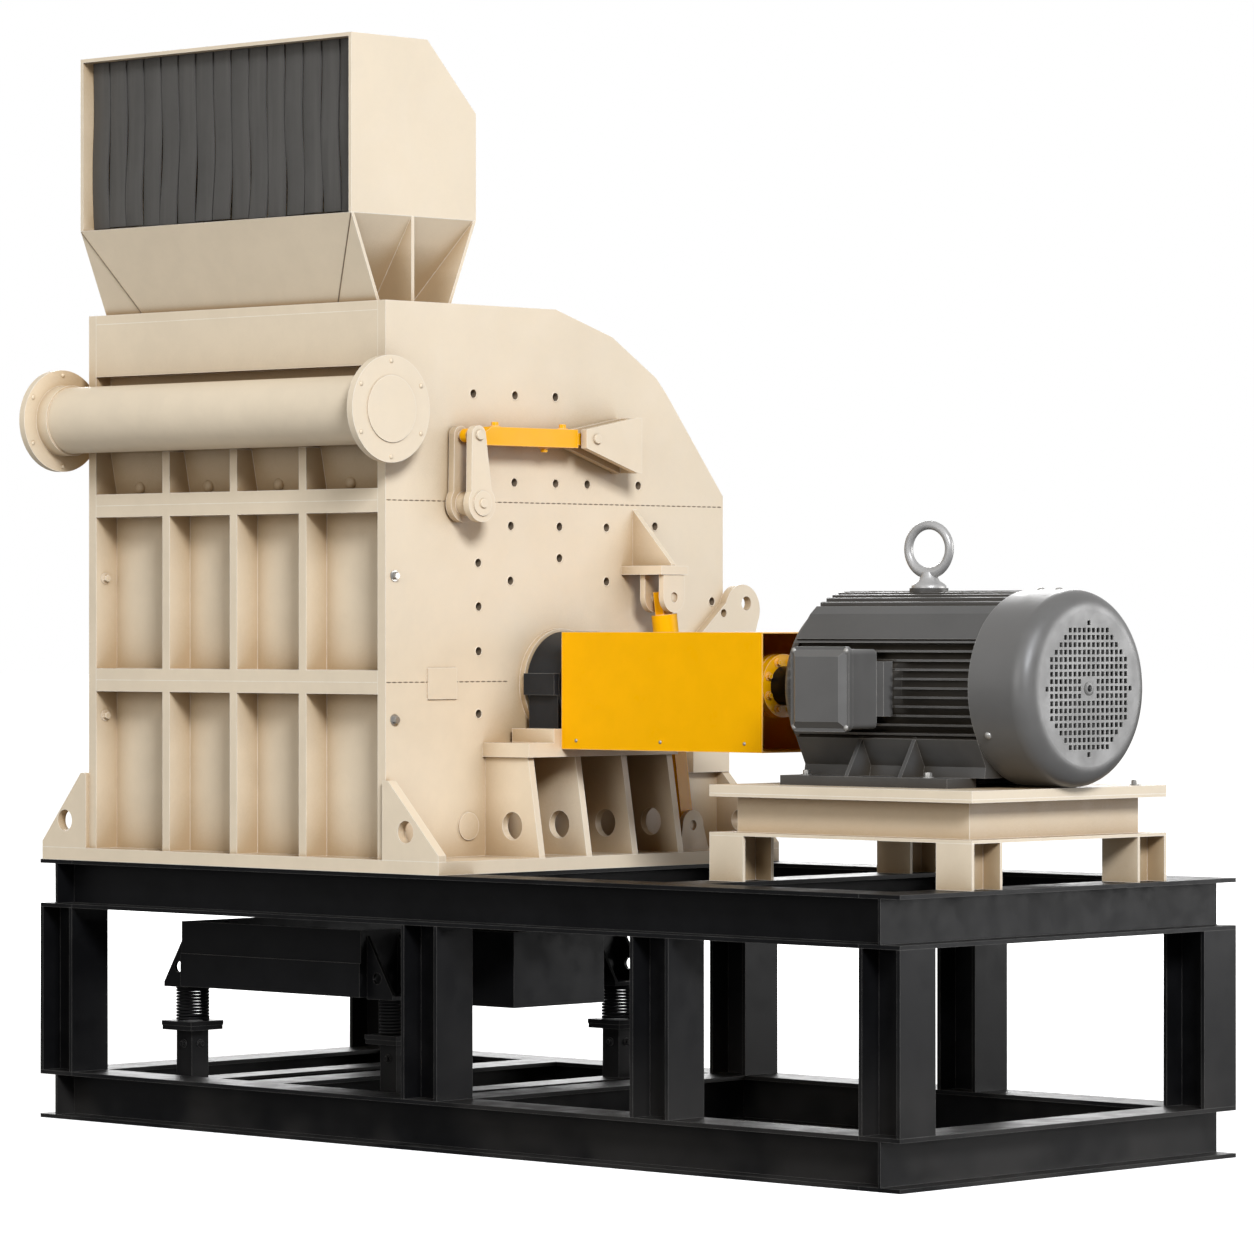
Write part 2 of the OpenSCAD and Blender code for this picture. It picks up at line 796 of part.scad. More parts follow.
// Ribs and flanges of one pocket row between z0 and z1, in front of the face at y
module pocket_row(y, z0, z1, flange_low, flange_high) {
    for (k = [-1, 0, 1])
        block(house_x + k * rib_pitch - rib_t / 2, house_x + k * rib_pitch + rib_t / 2,
            y, y + pocket_depth, z0, z1);
    if (flange_low) block(house_x - inner_x, house_x + inner_x, y, y + pocket_depth, z0, z0 + flange_t);
    if (flange_high) block(house_x - inner_x, house_x + inner_x, y, y + pocket_depth, z1 - flange_t, z1);
}

face_y = -front_y + pocket_depth;
rear_face_y = rear_y - pocket_depth;

module front_wall_lower() {
    color(cream) placed() {
        block(house_x - inner_x, house_x + inner_x, face_y, face_y + plate_t, base_z, joint_1_z);
        pocket_row(-front_y, base_z, joint_1_z, false, true);
    }
}

module front_wall_middle() {
    color(cream) placed() {
        block(house_x - inner_x, house_x + inner_x, face_y, face_y + plate_t, joint_1_z, joint_2_z);
        pocket_row(-front_y, joint_1_z, joint_2_z, true, true);
    }
}

box_z = top_z - front_box_h;

module front_wall_upper() {
    face = [[face_y, joint_2_z], [face_y, joint_2_z + flange_t], [face_y - lean_y, lean_z],
        [face_y - lean_y, box_z]];
    color(cream) placed() {
        along_x(house_x - inner_x, house_x + inner_x) polygon(band(face, plate_t));
        difference() {
            pocket_row(-front_y, joint_2_z, tube_z, true, false);
            rod_x(house_x - inner_x, house_x + inner_x, -tube_y, tube_z, tube_d + 0.6);
            along_x(house_x - inner_x, house_x + inner_x)
                polygon([[-tube_y, tube_z + 1], [-tube_y, lean_z], [-front_y - 1, lean_z],
                    [-front_y + pocket_depth + 1, lean_z], [-front_y + pocket_depth + 1, tube_z + 1]]);
        }
    }
}

module front_box() {
    y = face_y - lean_y;
    color(cream) placed()
        along_x(house_x - inner_x, house_x + inner_x) {
            rect(-front_y, -front_y + plate_t, box_z, top_z - plate_t);
            rect(-front_y, y + plate_t, box_z, box_z + plate_t);
        }
}

module rear_wall_lower() {
    color(cream) placed() {
        block(house_x - inner_x, house_x + inner_x, rear_face_y - plate_t, rear_face_y, base_z, joint_1_z);
        pocket_row(rear_face_y, base_z, joint_1_z, false, true);
    }
}

module rear_wall_middle() {
    color(cream) placed() {
        block(house_x - inner_x, house_x + inner_x, rear_face_y - plate_t, rear_face_y,
            joint_1_z, joint_2_z);
        pocket_row(rear_face_y, joint_1_z, joint_2_z, true, true);
    }
}

module rear_hood() {
    color(cream) placed()
        along_x(house_x - inner_x, house_x + inner_x) {
            intersection() {
                polygon(band(roof, plate_t));
                rect(roof_flat_y, rear_y, joint_2_z, top_z);
            }
            rect(rear_y - pocket_depth, rear_y - plate_t / 2, joint_2_z, joint_2_z + flange_t / 2);
        }
}

chute_in_x = hood_w / 2 - chute_side_in;

module top_plate() {
    color(cream) placed() difference() {
        block(house_x - inner_x, house_x + inner_x, -front_y, roof_flat_y, top_z - plate_t, top_z);
        block(house_x - chute_in_x + hood_t, house_x + chute_in_x - hood_t,
            -chute_front + hood_t, -chute_back - hood_t, top_z - plate_t - 1, top_z + 1);
    }
}

module corner_gusset(out) {
    difference() {
        polygon([[0, base_z], [out, base_z], [out, base_z + 20], [corner_top, base_z + corner_h],
            [0, base_z + corner_h]]);
        translate([corner_hole_out, base_z + corner_hole_up]) circle(d = corner_hole_d);
    }
}

module corner_gussets() {
    color(cream) placed()
        for (y = [-skid_y, skid_y - corner_t]) {
            translate([house_x + wall_x, 0, 0]) along_y(y, y + corner_t) corner_gusset(base_right);
            translate([house_x - wall_x, 0, 0]) mirror([1, 0, 0])
                along_y(y, y + corner_t) corner_gusset(base_left);
        }
}

module cross_tube() {
    x = tube_l / 2;
    color(cream) placed() translate([house_x, -tube_y, tube_z]) rotate([0, 90, 0]) {
        difference() {
            cylinder(h = tube_l - 2 * tube_flange_t, d = tube_d, center = true);
            cylinder(h = tube_l - 4 * tube_flange_t, d = tube_d - 2 * tube_wall, center = true);
        }
        for (side = [-1, 1]) {
            translate([0, 0, side * (x - tube_flange_t / 2)])
                cylinder(h = tube_flange_t, d = tube_flange_d, center = true);
            translate([0, 0, side * (x + tube_disc_t / 2)])
                cylinder(h = tube_disc_t, d = tube_disc_d, center = true);
        }
        translate([0, 0, -x + tube_flange_t]) cylinder(h = collar_l, d = collar_d);
    }
}

// Inlet

hood_x = hood_w / 2;

module inlet_chute() {
    z0 = top_z;
    front = [[-hood_front, hood_z], [-chute_front, z0]];
    back = [[-hood_back, hood_z], [-chute_back, z0]];
    inside = [front[0] + [hood_t, 0], back[0] - [hood_t, 0], back[1] - [hood_t, 0],
        front[1] + [hood_t, 0]];
    color(cream) placed() translate([house_x, 0, 0]) {
        along_x(-hood_x, hood_x)
            polygon([front[0], front[0] + [hood_t, 0], front[1] + [hood_t, 0], front[1]]);
        along_x(-hood_x, hood_x)
            polygon([back[0], back[0] - [hood_t, 0], back[1] - [hood_t, 0], back[1]]);
        intersection() {
            along_x(-hood_x, hood_x) polygon(inside);
            for (side = [0, 1]) mirror([side, 0, 0])
                along_y(-hood_front, -hood_back)
                    polygon([[hood_x, hood_z], [hood_x - hood_t, hood_z],
                        [chute_in_x - hood_t, z0], [chute_in_x, z0]]);
        }
        for (side = [0, 1]) mirror([side, 0, 0])
            along_y(-chute_rib_y - hood_t / 2, -chute_rib_y + hood_t / 2)
                polygon([[hood_x, hood_z], [chute_in_x, z0], [hood_x, z0]]);
    }
}

module inlet_hood() {
    outer = [[-hood_front, hood_z], [-hood_front, hood_top_z], [-hood_top_back, hood_top_z],
        [-hood_back, hood_back_z], [-hood_back, hood_z]];
    shell = [outer[1], outer[2], outer[3], outer[4]];
    color(cream) placed() translate([house_x, 0, 0]) {
        for (side = [0, 1]) mirror([side, 0, 0])
            along_x(hood_x - hood_t, hood_x) polygon(outer);
        along_x(-hood_x, hood_x) polygon(band(shell, hood_t));
    }
}

strip_pitch = (hood_w - 2 * hood_t) / strips;

module inlet_curtain() {
    y = -hood_front + curtain_in;
    top = hood_top_z - hood_t;
    color(dark_grey) placed() translate([house_x - hood_x + hood_t, 0, 0]) {
        for (k = [0:strips - 1])
            block(k * strip_pitch + 1, (k + 1) * strip_pitch - 1, y, y + strip_t, hood_z + 6, top);
        block(0, strips * strip_pitch, y + strip_t, y + 2 * strip_t, top - 60, top);
    }
}

// Bearings and drive line

ped_z = base_z + ped_rib_h;
plate_gap = 0.3;
sole_z = ped_z + ped_plate_t;
bearing_z = rotor_z - bearing_drop;

module pedestal(out) {
    for (y = [-ped_outer / 2, -ped_inner / 2, ped_inner / 2, ped_outer / 2])
        along_y(y - ped_rib_t / 2, y + ped_rib_t / 2) difference() {
            polygon([[0, base_z], [out - ped_edge, base_z], [ped_top_out, ped_z], [0, ped_z]]);
            translate([(out - ped_edge) / 2, base_z + ped_rib_h * 0.31]) circle(d = ped_hole_d);
        }
    difference() {
        block(0, ped_plate_out, -ped_plate_w / 2, ped_plate_w / 2, ped_z, sole_z);
        rod_x(-1, boss_t + plate_gap, 0, rotor_z, boss_d + 2 * plate_gap);
    }
    block(boss_t, ped_plate_out, -sole_w / 2, sole_w / 2, sole_z, bearing_z);
}

module bearing_pedestals() {
    color(cream) placed() {
        translate([house_x + wall_x, 0, 0]) pedestal(base_right);
        translate([house_x - wall_x, 0, 0]) mirror([1, 0, 0]) pedestal(base_left);
    }
}

module bearing_housings() {
    x0 = boss_t;
    x1 = boss_t + bearing_l;
    lug_z = rotor_z - bearing_lug_h / 2;
    color(dark_grey) placed() both_sides() difference() {
        union() {
            block(x0 + 12, x1 - 12, -bearing_body_w / 2, bearing_body_w / 2, bearing_z, rotor_z);
            block(x0 + 8, x1 - 8, -bearing_lug_w / 2, bearing_lug_w / 2, lug_z, lug_z + bearing_lug_h);
            rod_x(x0 + 4, x1 - 4, 0, rotor_z, bearing_cap_d);
            rod_x(x0, x1, 0, rotor_z, bearing_ring_d);
        }
        rod_x(x0 - 1, x1 + 1, 0, rotor_z, shaft_d + 2 * running_gap);
        block(x0 - 1, x1 + 1, -bearing_cap_d, bearing_cap_d, bearing_z - bearing_cap_d, bearing_z);
    }
}

shaft_x0 = house_x - wall_x - boss_t - bearing_l - 10;
shoulder_x = house_x + wall_x + boss_t + bearing_l + 15;

module rotor_shaft() {
    color(grey) placed() {
        rod_x(shaft_x0, shoulder_x, 0, rotor_z, shaft_d);
        rod_x(shoulder_x, coupling_x, 0, rotor_z, shaft_end_d);
    }
}

module coupling() {
    x0 = coupling_x - coupling_flange_t - barrel_l;
    x1 = coupling_x + 3 + coupling_flange_t;
    color(yellow) placed() difference() {
        union() {
            rod_x(x0, coupling_x, 0, rotor_z, barrel_d);
            rod_x(coupling_x - coupling_flange_t, coupling_x, 0, rotor_z, coupling_d);
            rod_x(coupling_x, coupling_x + 3, 0, rotor_z, coupling_d - 20);
            rod_x(coupling_x + 3, x1, 0, rotor_z, coupling_d);
        }
        rod_x(x0 - 1, coupling_x, 0, rotor_z, shaft_end_d + 2 * running_gap);
    }
}

module motor_shaft() {
    x0 = coupling_x + 3 + coupling_flange_t;
    color(dark_grey) placed() {
        rod_x(x0, x0 + motor_hub_l, 0, rotor_z, motor_hub_d);
        rod_x(x0 + motor_hub_l, frame_x - 5, 0, rotor_z, shaft_end_d);
    }
}

module coupling_guard() {
    y = guard_w / 2;
    color(yellow) placed() difference() {
        block(guard_x0, guard_x1, -y, y, guard_z, guard_z + guard_h);
        block(guard_x0 + guard_t, guard_x1 + 1, -y + guard_t, y - guard_t,
            guard_z + guard_t, guard_z + guard_h - guard_t);
        rod_x(guard_x0 - 1, guard_x0 + guard_t + 1, 0, rotor_z, shaft_hole_d);
    }
}

// Link gear on both side walls

arm_x1 = arm_out + arm_t;
arm_x2 = arm_x1 + arm_gap;
bar_y1 = cheek_front - bar_short;

module link_arm_outline() {
    difference() {
        hull() {
            translate([-arm_pin_y, link_z]) circle(d = arm_top_d, $fn = 32);
            translate([-arm_boss_y, arm_boss_z]) circle(d = arm_boss_d * 0.8, $fn = 32);
        }
        translate([-arm_boss_y, arm_boss_z]) circle(d = arm_boss_d - 4);
        translate([-arm_pin_y, link_z]) circle(d = link_pin_d);
    }
    difference() {
        translate([-arm_boss_y, arm_boss_z]) circle(d = arm_boss_d);
        translate([-arm_boss_y, arm_boss_z]) circle(d = pivot_d);
    }
}

module link_arms() {
    color(cream) placed() both_sides() {
        for (x = [arm_out, arm_x2]) along_x(x, x + arm_t) link_arm_outline();
        rod_x(0, arm_x2 + arm_t + 5, -arm_boss_y, arm_boss_z, pivot_d);
        rod_x(arm_out, arm_x2 + arm_t + 4, -arm_pin_y, link_z, link_pin_d);
    }
}

module link_bars() {
    low = link_z - bar_h / 2;
    tongue = arm_gap * 0.5;
    color(yellow) placed() both_sides() difference() {
        union() {
            along_x(arm_x1 + 1, arm_x2 - 1)
                polygon([[-bar_front, low], [bar_y1, low], [bar_y1, low + bar_h],
                    [-bar_front + 40, low + bar_h], [-bar_front, low + bar_h * 0.6]]);
            along_x(arm_x1 + tongue / 2, arm_x2 - tongue / 2) {
                rect(-arm_pin_y, -bar_front + 5, link_z - 22, link_z + 22);
                translate([-arm_pin_y, link_z]) circle(d = 44);
                rect(bar_y1 - 5, bar_pin_y, link_z - 20, link_z + 20);
                translate([bar_pin_y, link_z]) circle(d = 40);
            }
        }
        for (y = [-arm_pin_y, bar_pin_y])
            rod_x(arm_x1, arm_x2, y, link_z, link_pin_d + 0.6);
    }
}

module link_brackets() {
    y1 = cheek_front + cheek_l;
    color(cream) placed() both_sides() {
        for (x = [arm_out, arm_x2])
            along_x(x, x + arm_t)
                polygon([[cheek_front, link_z - cheek_front_h / 2], [y1, link_z - cheek_rear_h * 0.59],
                    [y1, link_z + cheek_rear_h * 0.41], [cheek_front, link_z + cheek_front_h / 2]]);
        block(0, arm_x2 + arm_t, y1, y1 + 20, link_z - cheek_rear_h * 0.59, link_z + cheek_rear_h * 0.41);
        rod_x(arm_out, arm_x2 + arm_t + 4, bar_pin_y, link_z, link_pin_d);
    }
}

// Struts on both side walls

module strut_brackets() {
    x = [strut_top_out - ear_gap / 2 - ear_t, strut_top_out + ear_gap / 2];
    y0 = strut_top_y - shelf_w / 2;
    color(cream) placed() both_sides() {
        block(0, shelf_out, y0, y0 + shelf_w, shelf_z, shelf_z + shelf_t);
        along_y(strut_top_y - 10, strut_top_y + 10)
            polygon([[0, shelf_z + shelf_t], [shelf_out - 8, shelf_z + shelf_t],
                [shelf_out - 8, shelf_z + shelf_t + 8], [0, shelf_z + shelf_t + shelf_gusset_h]]);
        for (x0 = x) along_x(x0, x0 + ear_t) difference() {
            union() {
                rect(strut_top_y - ear_w / 2, strut_top_y + ear_w / 2, strut_top_z, shelf_z);
                translate([strut_top_y, strut_top_z]) circle(d = ear_w);
            }
            translate([strut_top_y, strut_top_z]) circle(d = strut_pin_d);
        }
        rod_x(x[0], x[1] + ear_t - pin_in, strut_top_y, strut_top_z, strut_pin_d);
    }
}

strut_low_z = base_z + strut_low_up;

module strut_lugs() {
    x = [strut_low_out - lug_gap / 2 - lug_t, strut_low_out + lug_gap / 2];
    color(cream) placed() both_sides() {
        for (x0 = x) along_x(x0, x0 + lug_t) difference() {
            union() {
                polygon([[strut_low_y - lug_w / 2, strut_low_z], [strut_low_y - lug_w * 0.61, base_z],
                    [strut_low_y + lug_w * 0.77, base_z], [strut_low_y + lug_w / 2, strut_low_z]]);
                translate([strut_low_y, strut_low_z]) circle(d = lug_w);
            }
            translate([strut_low_y, strut_low_z]) circle(d = strut_pin_d);
        }
        rod_x(x[0], x[1] + lug_t - pin_in, strut_low_y, strut_low_z, strut_pin_d);
    }
}

strut_top = [strut_top_out, strut_top_y, strut_top_z];
strut_low = [strut_low_out, strut_low_y, strut_low_z];
strut_dir = strut_low - strut_top;
strut_reach = norm(strut_dir);

// The strut hangs from its upper pin and leans to its lower pin
module struts() {
    lean = [asin(strut_dir[1] / strut_reach), atan2(-strut_dir[0], -strut_dir[2]), 0];
    color(yellow) placed() both_sides() difference() {
        translate(strut_top) rotate(lean) mirror([0, 0, 1]) {
            translate([-ear_gap * 0.3, -22, -20]) cube([ear_gap * 0.6, 44, 80]);
            translate([0, 0, 57]) cylinder(h = strut_l, d = strut_d);
            translate([-strut_bar_t / 2, -strut_bar_w / 2, 57 + strut_l])
                cube([strut_bar_t, strut_bar_w, strut_reach - strut_l - 57 + 26]);
        }
        rod_x(strut_top_out - ear_gap / 2, strut_top_out + ear_gap / 2, strut_top_y, strut_top_z,
            strut_pin_d + 0.6);
        rod_x(strut_low_out - lug_gap, strut_low_out + lug_gap, strut_low_y, strut_low_z,
            strut_pin_d + 0.6);
    }
}

module rear_ears() {
    low = base_z + corner_h;
    lap = rear_y - ear_lap;
    r = ear_round_d / 2;
    mid = [ear_hole_y - ear_round_in, ear_hole_z - ear_round_drop];
    edge = mid + r * [-0.96, 0.28];
    color(cream) placed() both_sides() along_x(0, ear_plate_t) difference() {
        union() {
            translate(mid) circle(r = r);
            polygon([[rear_y, low], [rear_y, guard_z], mid + r * [0.98, -0.2], mid, edge,
                [lap, edge[1] - (edge[0] - lap) * ear_fall], [lap, low]]);
        }
        translate([ear_hole_y, ear_hole_z]) circle(d = ear_hole_d);
        translate([ear_hole_y - ear_small_in, ear_hole_z - ear_small_drop]) circle(d = wall_hole_d);
    }
}

// Motor base

module motor_base_legs() {
    color(cream) placed()
        for (x = [mbase_x0 + leg_side / 2, mbase_x1 - leg_side / 2],
             y = [-mbase_w / 2 + leg_side / 2, mbase_w / 2 - leg_side / 2])
            along_z(skid_h, skid_h + leg_h) translate([x, y])
                h_section(leg_side, leg_side, mbeam_web, mbeam_flange);
}

// A rectangle ring of the motor base, from in0 to in1 inside its outline
module base_ring(in0, in1) {
    difference() {
        rect(mbase_x0 + in0, mbase_x1 - in0, -mbase_w / 2 + in0, mbase_w / 2 - in0);
        rect(mbase_x0 + in1, mbase_x1 - in1, -mbase_w / 2 + in1, mbase_w / 2 - in1);
    }
}

module motor_base_frame() {
    z0 = skid_h + leg_h;
    color(cream) placed() {
        along_z(z0, z0 + mbeam_flange) base_ring(0, mbeam_b);
        along_z(z0, mbase_z) base_ring((mbeam_b - mbeam_web) / 2, (mbeam_b + mbeam_web) / 2);
        along_z(mbase_z - mbeam_flange, mbase_z) base_ring(0, mbeam_b);
    }
}

module motor_base_plate() {
    color(cream) placed()
        block(mbase_x0, mbase_x1, -mbase_w / 2, mbase_w / 2, mbase_z, mtop_z);
}

// Motor

fin_r = fin_d / 2;
core_r = core_d / 2;
side_fins = floor(fin_r * 0.5 / fin_pitch);
top_fins = floor(fin_r * 0.54 / fin_pitch);

// Cross section of the motor frame round its axis, without the feet
module frame_section() {
    circle(d = core_d);
    intersection() {
        circle(d = fin_d);
        union() {
            for (k = [-side_fins:side_fins])
                rect(-fin_r, fin_r, k * fin_pitch - fin_t / 2, k * fin_pitch + fin_t / 2);
            for (k = [-top_fins:top_fins])
                rect(k * fin_pitch - fin_t / 2, k * fin_pitch + fin_t / 2, 0, fin_r);
            for (side = [-1, 1]) scale([side, 1])
                polygon([[0, 0], [fin_r * 0.54, fin_r * 0.84], [fin_r * 0.64, fin_r * 0.76],
                    [fin_r * 0.86, fin_r * 0.5]]);
        }
    }
    for (side = [-1, 1]) scale([side, 1])
        polygon([[0, 0], [fin_r * 0.86, -fin_r * 0.52], [fin_r * 0.72, -fin_r * 0.8],
            [foot_out - 110, mtop_z - rotor_z + foot_t], [120, mtop_z - rotor_z + foot_t]]);
}

tbox_x0 = frame_x + tbox_in;
eye_x = frame_x + frame_l * 0.44;
eye_pad = 8;
tbox_z0 = rotor_z + tbox_low;

module motor_frame() {
    foot_x0 = frame_x;
    color(dark_grey) placed() difference() {
        union() {
            along_x(frame_x, cowl_x) translate([0, rotor_z]) frame_section();
            translate([eye_x, 0, rotor_z]) cylinder(h = fin_r + eye_pad, d = 120);
            for (side = [0, 1]) mirror([0, side, 0]) {
                block(foot_x0, foot_x0 + foot_l, 195, foot_out, mtop_z, mtop_z + foot_t);
                for (x = [foot_x0 + foot_l * 0.38, foot_x0 + foot_l * 0.7])
                    along_x(x, x + 14)
                        polygon([[180, mtop_z + foot_t], [foot_out - 8, mtop_z + foot_t],
                            [fin_r * 0.84, rotor_z - fin_r * 0.5]]);
            }
        }
        block(tbox_x0 - 10, tbox_x0 + tbox_w + 60, -fin_r - 1, -core_r + 4, tbox_z0 + 30,
            tbox_z0 + tbox_h - 30);
        rod_x(frame_x - 1, frame_x + 40, 0, rotor_z, shaft_end_d + 40);
    }
}

module motor_end_bell() {
    color(dark_grey) placed() translate([frame_x, 0, rotor_z]) rotate([0, -90, 0]) difference() {
        rotate_extrude() {
            rect(0, bell_face_d / 2, 0, bell_l);
            intersection() {
                rect(0, fin_r - 12, 0, bell_l);
                translate([bell_face_d / 2, 0]) circle(r = bell_l);
            }
        }
        translate([0, 0, -1]) cylinder(h = bell_l + 2, d = shaft_end_d + 2 * running_gap);
    }
}

module cowl_outline(d, l, r) {
    rect(0, d / 2 - r, 0, l);
    rect(0, d / 2, 0, l - r);
    translate([d / 2 - r, l - r]) circle(r = r);
}

module fan_cowl() {
    holes = floor(grille_d / grille_pitch / 2);
    color(grey) placed() translate([cowl_x, 0, rotor_z]) rotate([0, 90, 0]) difference() {
        rotate_extrude() difference() {
            cowl_outline(cowl_d, cowl_l, cowl_round);
            cowl_outline(cowl_d - 2 * cowl_t, cowl_l - cowl_t, cowl_round - cowl_t);
        }
        translate([0, 0, cowl_l - cowl_t - 1]) linear_extrude(cowl_t + 2)
            for (i = [-holes:holes], j = [-holes:holes])
                if (norm([i, j]) * grille_pitch < (grille_d - grille_hole) / 2
                    && norm([i, j]) * grille_pitch > grille_hub_d / 2)
                    translate([i, j] * grille_pitch) square(grille_hole, center = true);
    }
}

// A rectangle with round corners, drawn in by an inset
module soft_rect(x0, x1, z0, z1, r, in) {
    rect(x0 + in, x1 - in, z0 + r, z1 - r);
    rect(x0 + r, x1 - r, z0 + in, z1 - in);
    for (x = [x0 + r, x1 - r], z = [z0 + r, z1 - r]) translate([x, z]) circle(r = r - in);
}

module terminal_box() {
    x1 = tbox_x0 + tbox_w;
    z1 = tbox_z0 + tbox_h;
    rim = -tbox_out + tbox_lid * 0.45;
    color(grey) placed() {
        hull() {
            block(tbox_x0 + 10, x1 - 10, rim, rim + 1, tbox_z0 + 10, z1 - 10);
            block(tbox_x0 + 30, x1 - 30, -tbox_out, -tbox_out + 1, tbox_z0 + 30, z1 - 30);
        }
        along_y(rim, -tbox_out + tbox_lid) soft_rect(tbox_x0, x1, tbox_z0, z1, tbox_round, 0);
        along_y(-tbox_out + tbox_lid, -fin_r - 2)
            soft_rect(tbox_x0, x1, tbox_z0, z1, tbox_round, tbox_round / 3);
        block(tbox_x0 + 20, x1 + 20, -fin_r - 2, -core_r + 4, tbox_z0 + 46, z1 - 46);
    }
}

module eye_bolt() {
    z = rotor_z + fin_r + eye_pad;
    color(grey) placed() translate([eye_x, 0, z]) {
        cylinder(h = eye_base_h, d1 = 108, d2 = eye_wire * 2);
        translate([0, 0, eye_base_h - eye_wire * 0.2 + eye_d / 2]) rotate([90, 0, eye_turn])
            rotate_extrude() translate([(eye_d - eye_wire) / 2, 0]) circle(d = eye_wire);
    }
}

lower_long_beams();
lower_end_beams();
lower_cross_beams();
spring_posts();
columns();
upper_long_beams();
upper_end_beams();
upper_cross_beams();
tray_pan();
tray_brackets();
exciter_housing();
tray_springs();
base_plate();
side_wall_left();
side_wall_right();
front_wall_lower();
front_wall_middle();
front_wall_upper();
front_box();
rear_wall_lower();
rear_wall_middle();
rear_hood();
top_plate();
corner_gussets();
cross_tube();
inlet_chute();
inlet_hood();
inlet_curtain();
bearing_pedestals();
bearing_housings();
rotor_shaft();
coupling();
motor_shaft();
coupling_guard();
link_arms();
link_bars();
link_brackets();
strut_brackets();
strut_lugs();
struts();
rear_ears();
motor_base_legs();
motor_base_frame();
motor_base_plate();
motor_frame();
motor_end_bell();
fan_cowl();
terminal_box();
eye_bolt();
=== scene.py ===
"""Dresses the metal crusher: paints its frame and adds springs, a curtain, seams, an eye bolt, a
cooling fan and fasteners.

Everything is in metres. X runs along the rotor towards the motor, -Y is the feed side and Z is up.
"""

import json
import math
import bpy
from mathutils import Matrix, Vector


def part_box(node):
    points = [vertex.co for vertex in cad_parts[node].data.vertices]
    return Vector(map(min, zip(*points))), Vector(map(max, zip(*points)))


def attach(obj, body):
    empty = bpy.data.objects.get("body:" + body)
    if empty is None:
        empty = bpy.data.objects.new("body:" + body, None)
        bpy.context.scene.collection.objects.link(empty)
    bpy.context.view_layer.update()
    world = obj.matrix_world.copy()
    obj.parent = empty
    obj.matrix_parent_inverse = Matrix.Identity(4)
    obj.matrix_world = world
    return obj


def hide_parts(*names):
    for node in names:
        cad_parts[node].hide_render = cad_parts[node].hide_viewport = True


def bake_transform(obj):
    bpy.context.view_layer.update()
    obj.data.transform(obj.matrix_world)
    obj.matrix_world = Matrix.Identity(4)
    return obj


bl_info = {
    "name": "Metal crusher",
    "version": (1, 0, 0),
    "blender": (4, 5, 0),
    "location": "View3D > Sidebar > Crusher",
    "description": "Paints the crusher's frame and adds its springs, curtain, seams and fasteners",
    "category": "Object",
}

import bpy
import numpy as np
from bpy.props import FloatProperty, FloatVectorProperty, IntProperty, PointerProperty
from mathutils import Matrix, Vector

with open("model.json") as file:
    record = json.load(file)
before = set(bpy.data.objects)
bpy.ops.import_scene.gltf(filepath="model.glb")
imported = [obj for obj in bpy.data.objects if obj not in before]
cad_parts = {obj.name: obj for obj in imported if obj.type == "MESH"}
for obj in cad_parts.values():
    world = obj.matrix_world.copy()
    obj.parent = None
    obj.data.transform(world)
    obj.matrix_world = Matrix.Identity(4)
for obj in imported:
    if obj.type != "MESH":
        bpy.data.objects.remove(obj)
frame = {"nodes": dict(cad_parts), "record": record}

TAU = 2 * math.pi
MM = 0.001

# Sizes of the frame, in metres, that its nodes' boxes don't give
WALL_THICK = 0.036          # a side wall, outward from the front wall's end
BOSS_THICK = 0.021          # the bearing's boss on a side wall
JOINT_Z = 2.055             # the joint between the housing's middle and upper part
LOWER_JOINT_Z = 1.475       # the joint between its lower and middle part

# Tints that the paint film mixes in: painted shade, painted edge highlight and dust
RECESS_SHADE_TINT = (0.50, 0.41, 0.30, 1)
EDGE_HIGHLIGHT_TINT = (1.0, 0.97, 0.9, 1)
DUST_TINT = (0.36, 0.33, 0.29, 1)


def mid(node):
    """The middle of a frame node's box."""
    low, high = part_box(node)
    return (low + high) / 2


ORIGIN_X = mid("lower_end_beams").x
ORIGIN_Y = mid("lower_end_beams").y
HOUSE_X = mid("front_wall_lower").x
ROTOR_Z = mid("rotor_shaft").z
ROTOR_Y = mid("rotor_shaft").y


def colour_property(name, text, default):
    """A scene colour as a property."""
    return FloatVectorProperty(
        name=name, description=text, subtype="COLOR", size=3, min=0, max=1, default=default)


def length_property(name, text, default):
    """A length in metres as a property."""
    return FloatProperty(name=name, description=text, unit="LENGTH", min=0, default=default)


def count_property(name, text, low, high, default):
    """A whole number between limits as a property."""
    return IntProperty(name=name, description=text, min=low, max=high, default=default)


def amount_property(name, text, default):
    """A number from nought up as a property."""
    return FloatProperty(name=name, description=text, min=0, default=default)


class CrusherPaint(bpy.types.PropertyGroup):
    """Colours of the paints and bare metals."""

    cream: colour_property("Cream", "Paint of the housing and bases", (0.80, 0.68, 0.51))
    black: colour_property("Black", "Paint of the skid and tray", (0.006, 0.006, 0.0065))
    yellow: colour_property("Yellow", "Paint of the guard, bars and struts", (0.94, 0.455, 0.0))
    motor: colour_property("Motor", "Paint of the motor frame", (0.072, 0.070, 0.067))
    cowl: colour_property("Cowl", "Paint of the fan cowl and terminal box", (0.106, 0.103, 0.098))
    casting: colour_property("Casting", "Paint of the bearing housings", (0.02, 0.0205, 0.022))
    rubber: colour_property("Rubber", "Curtain strips", (0.068, 0.064, 0.058))
    steel: colour_property("Steel", "Plated fasteners", (0.34, 0.33, 0.31))
    forged: colour_property("Forged", "Forged eye bolt", (0.36, 0.352, 0.34))
    shaft: colour_property("Shaft", "Turned shaft", (0.35, 0.35, 0.36))
    seam: colour_property("Seam", "Shaded gap along the casing joints", (0.20, 0.15, 0.10))


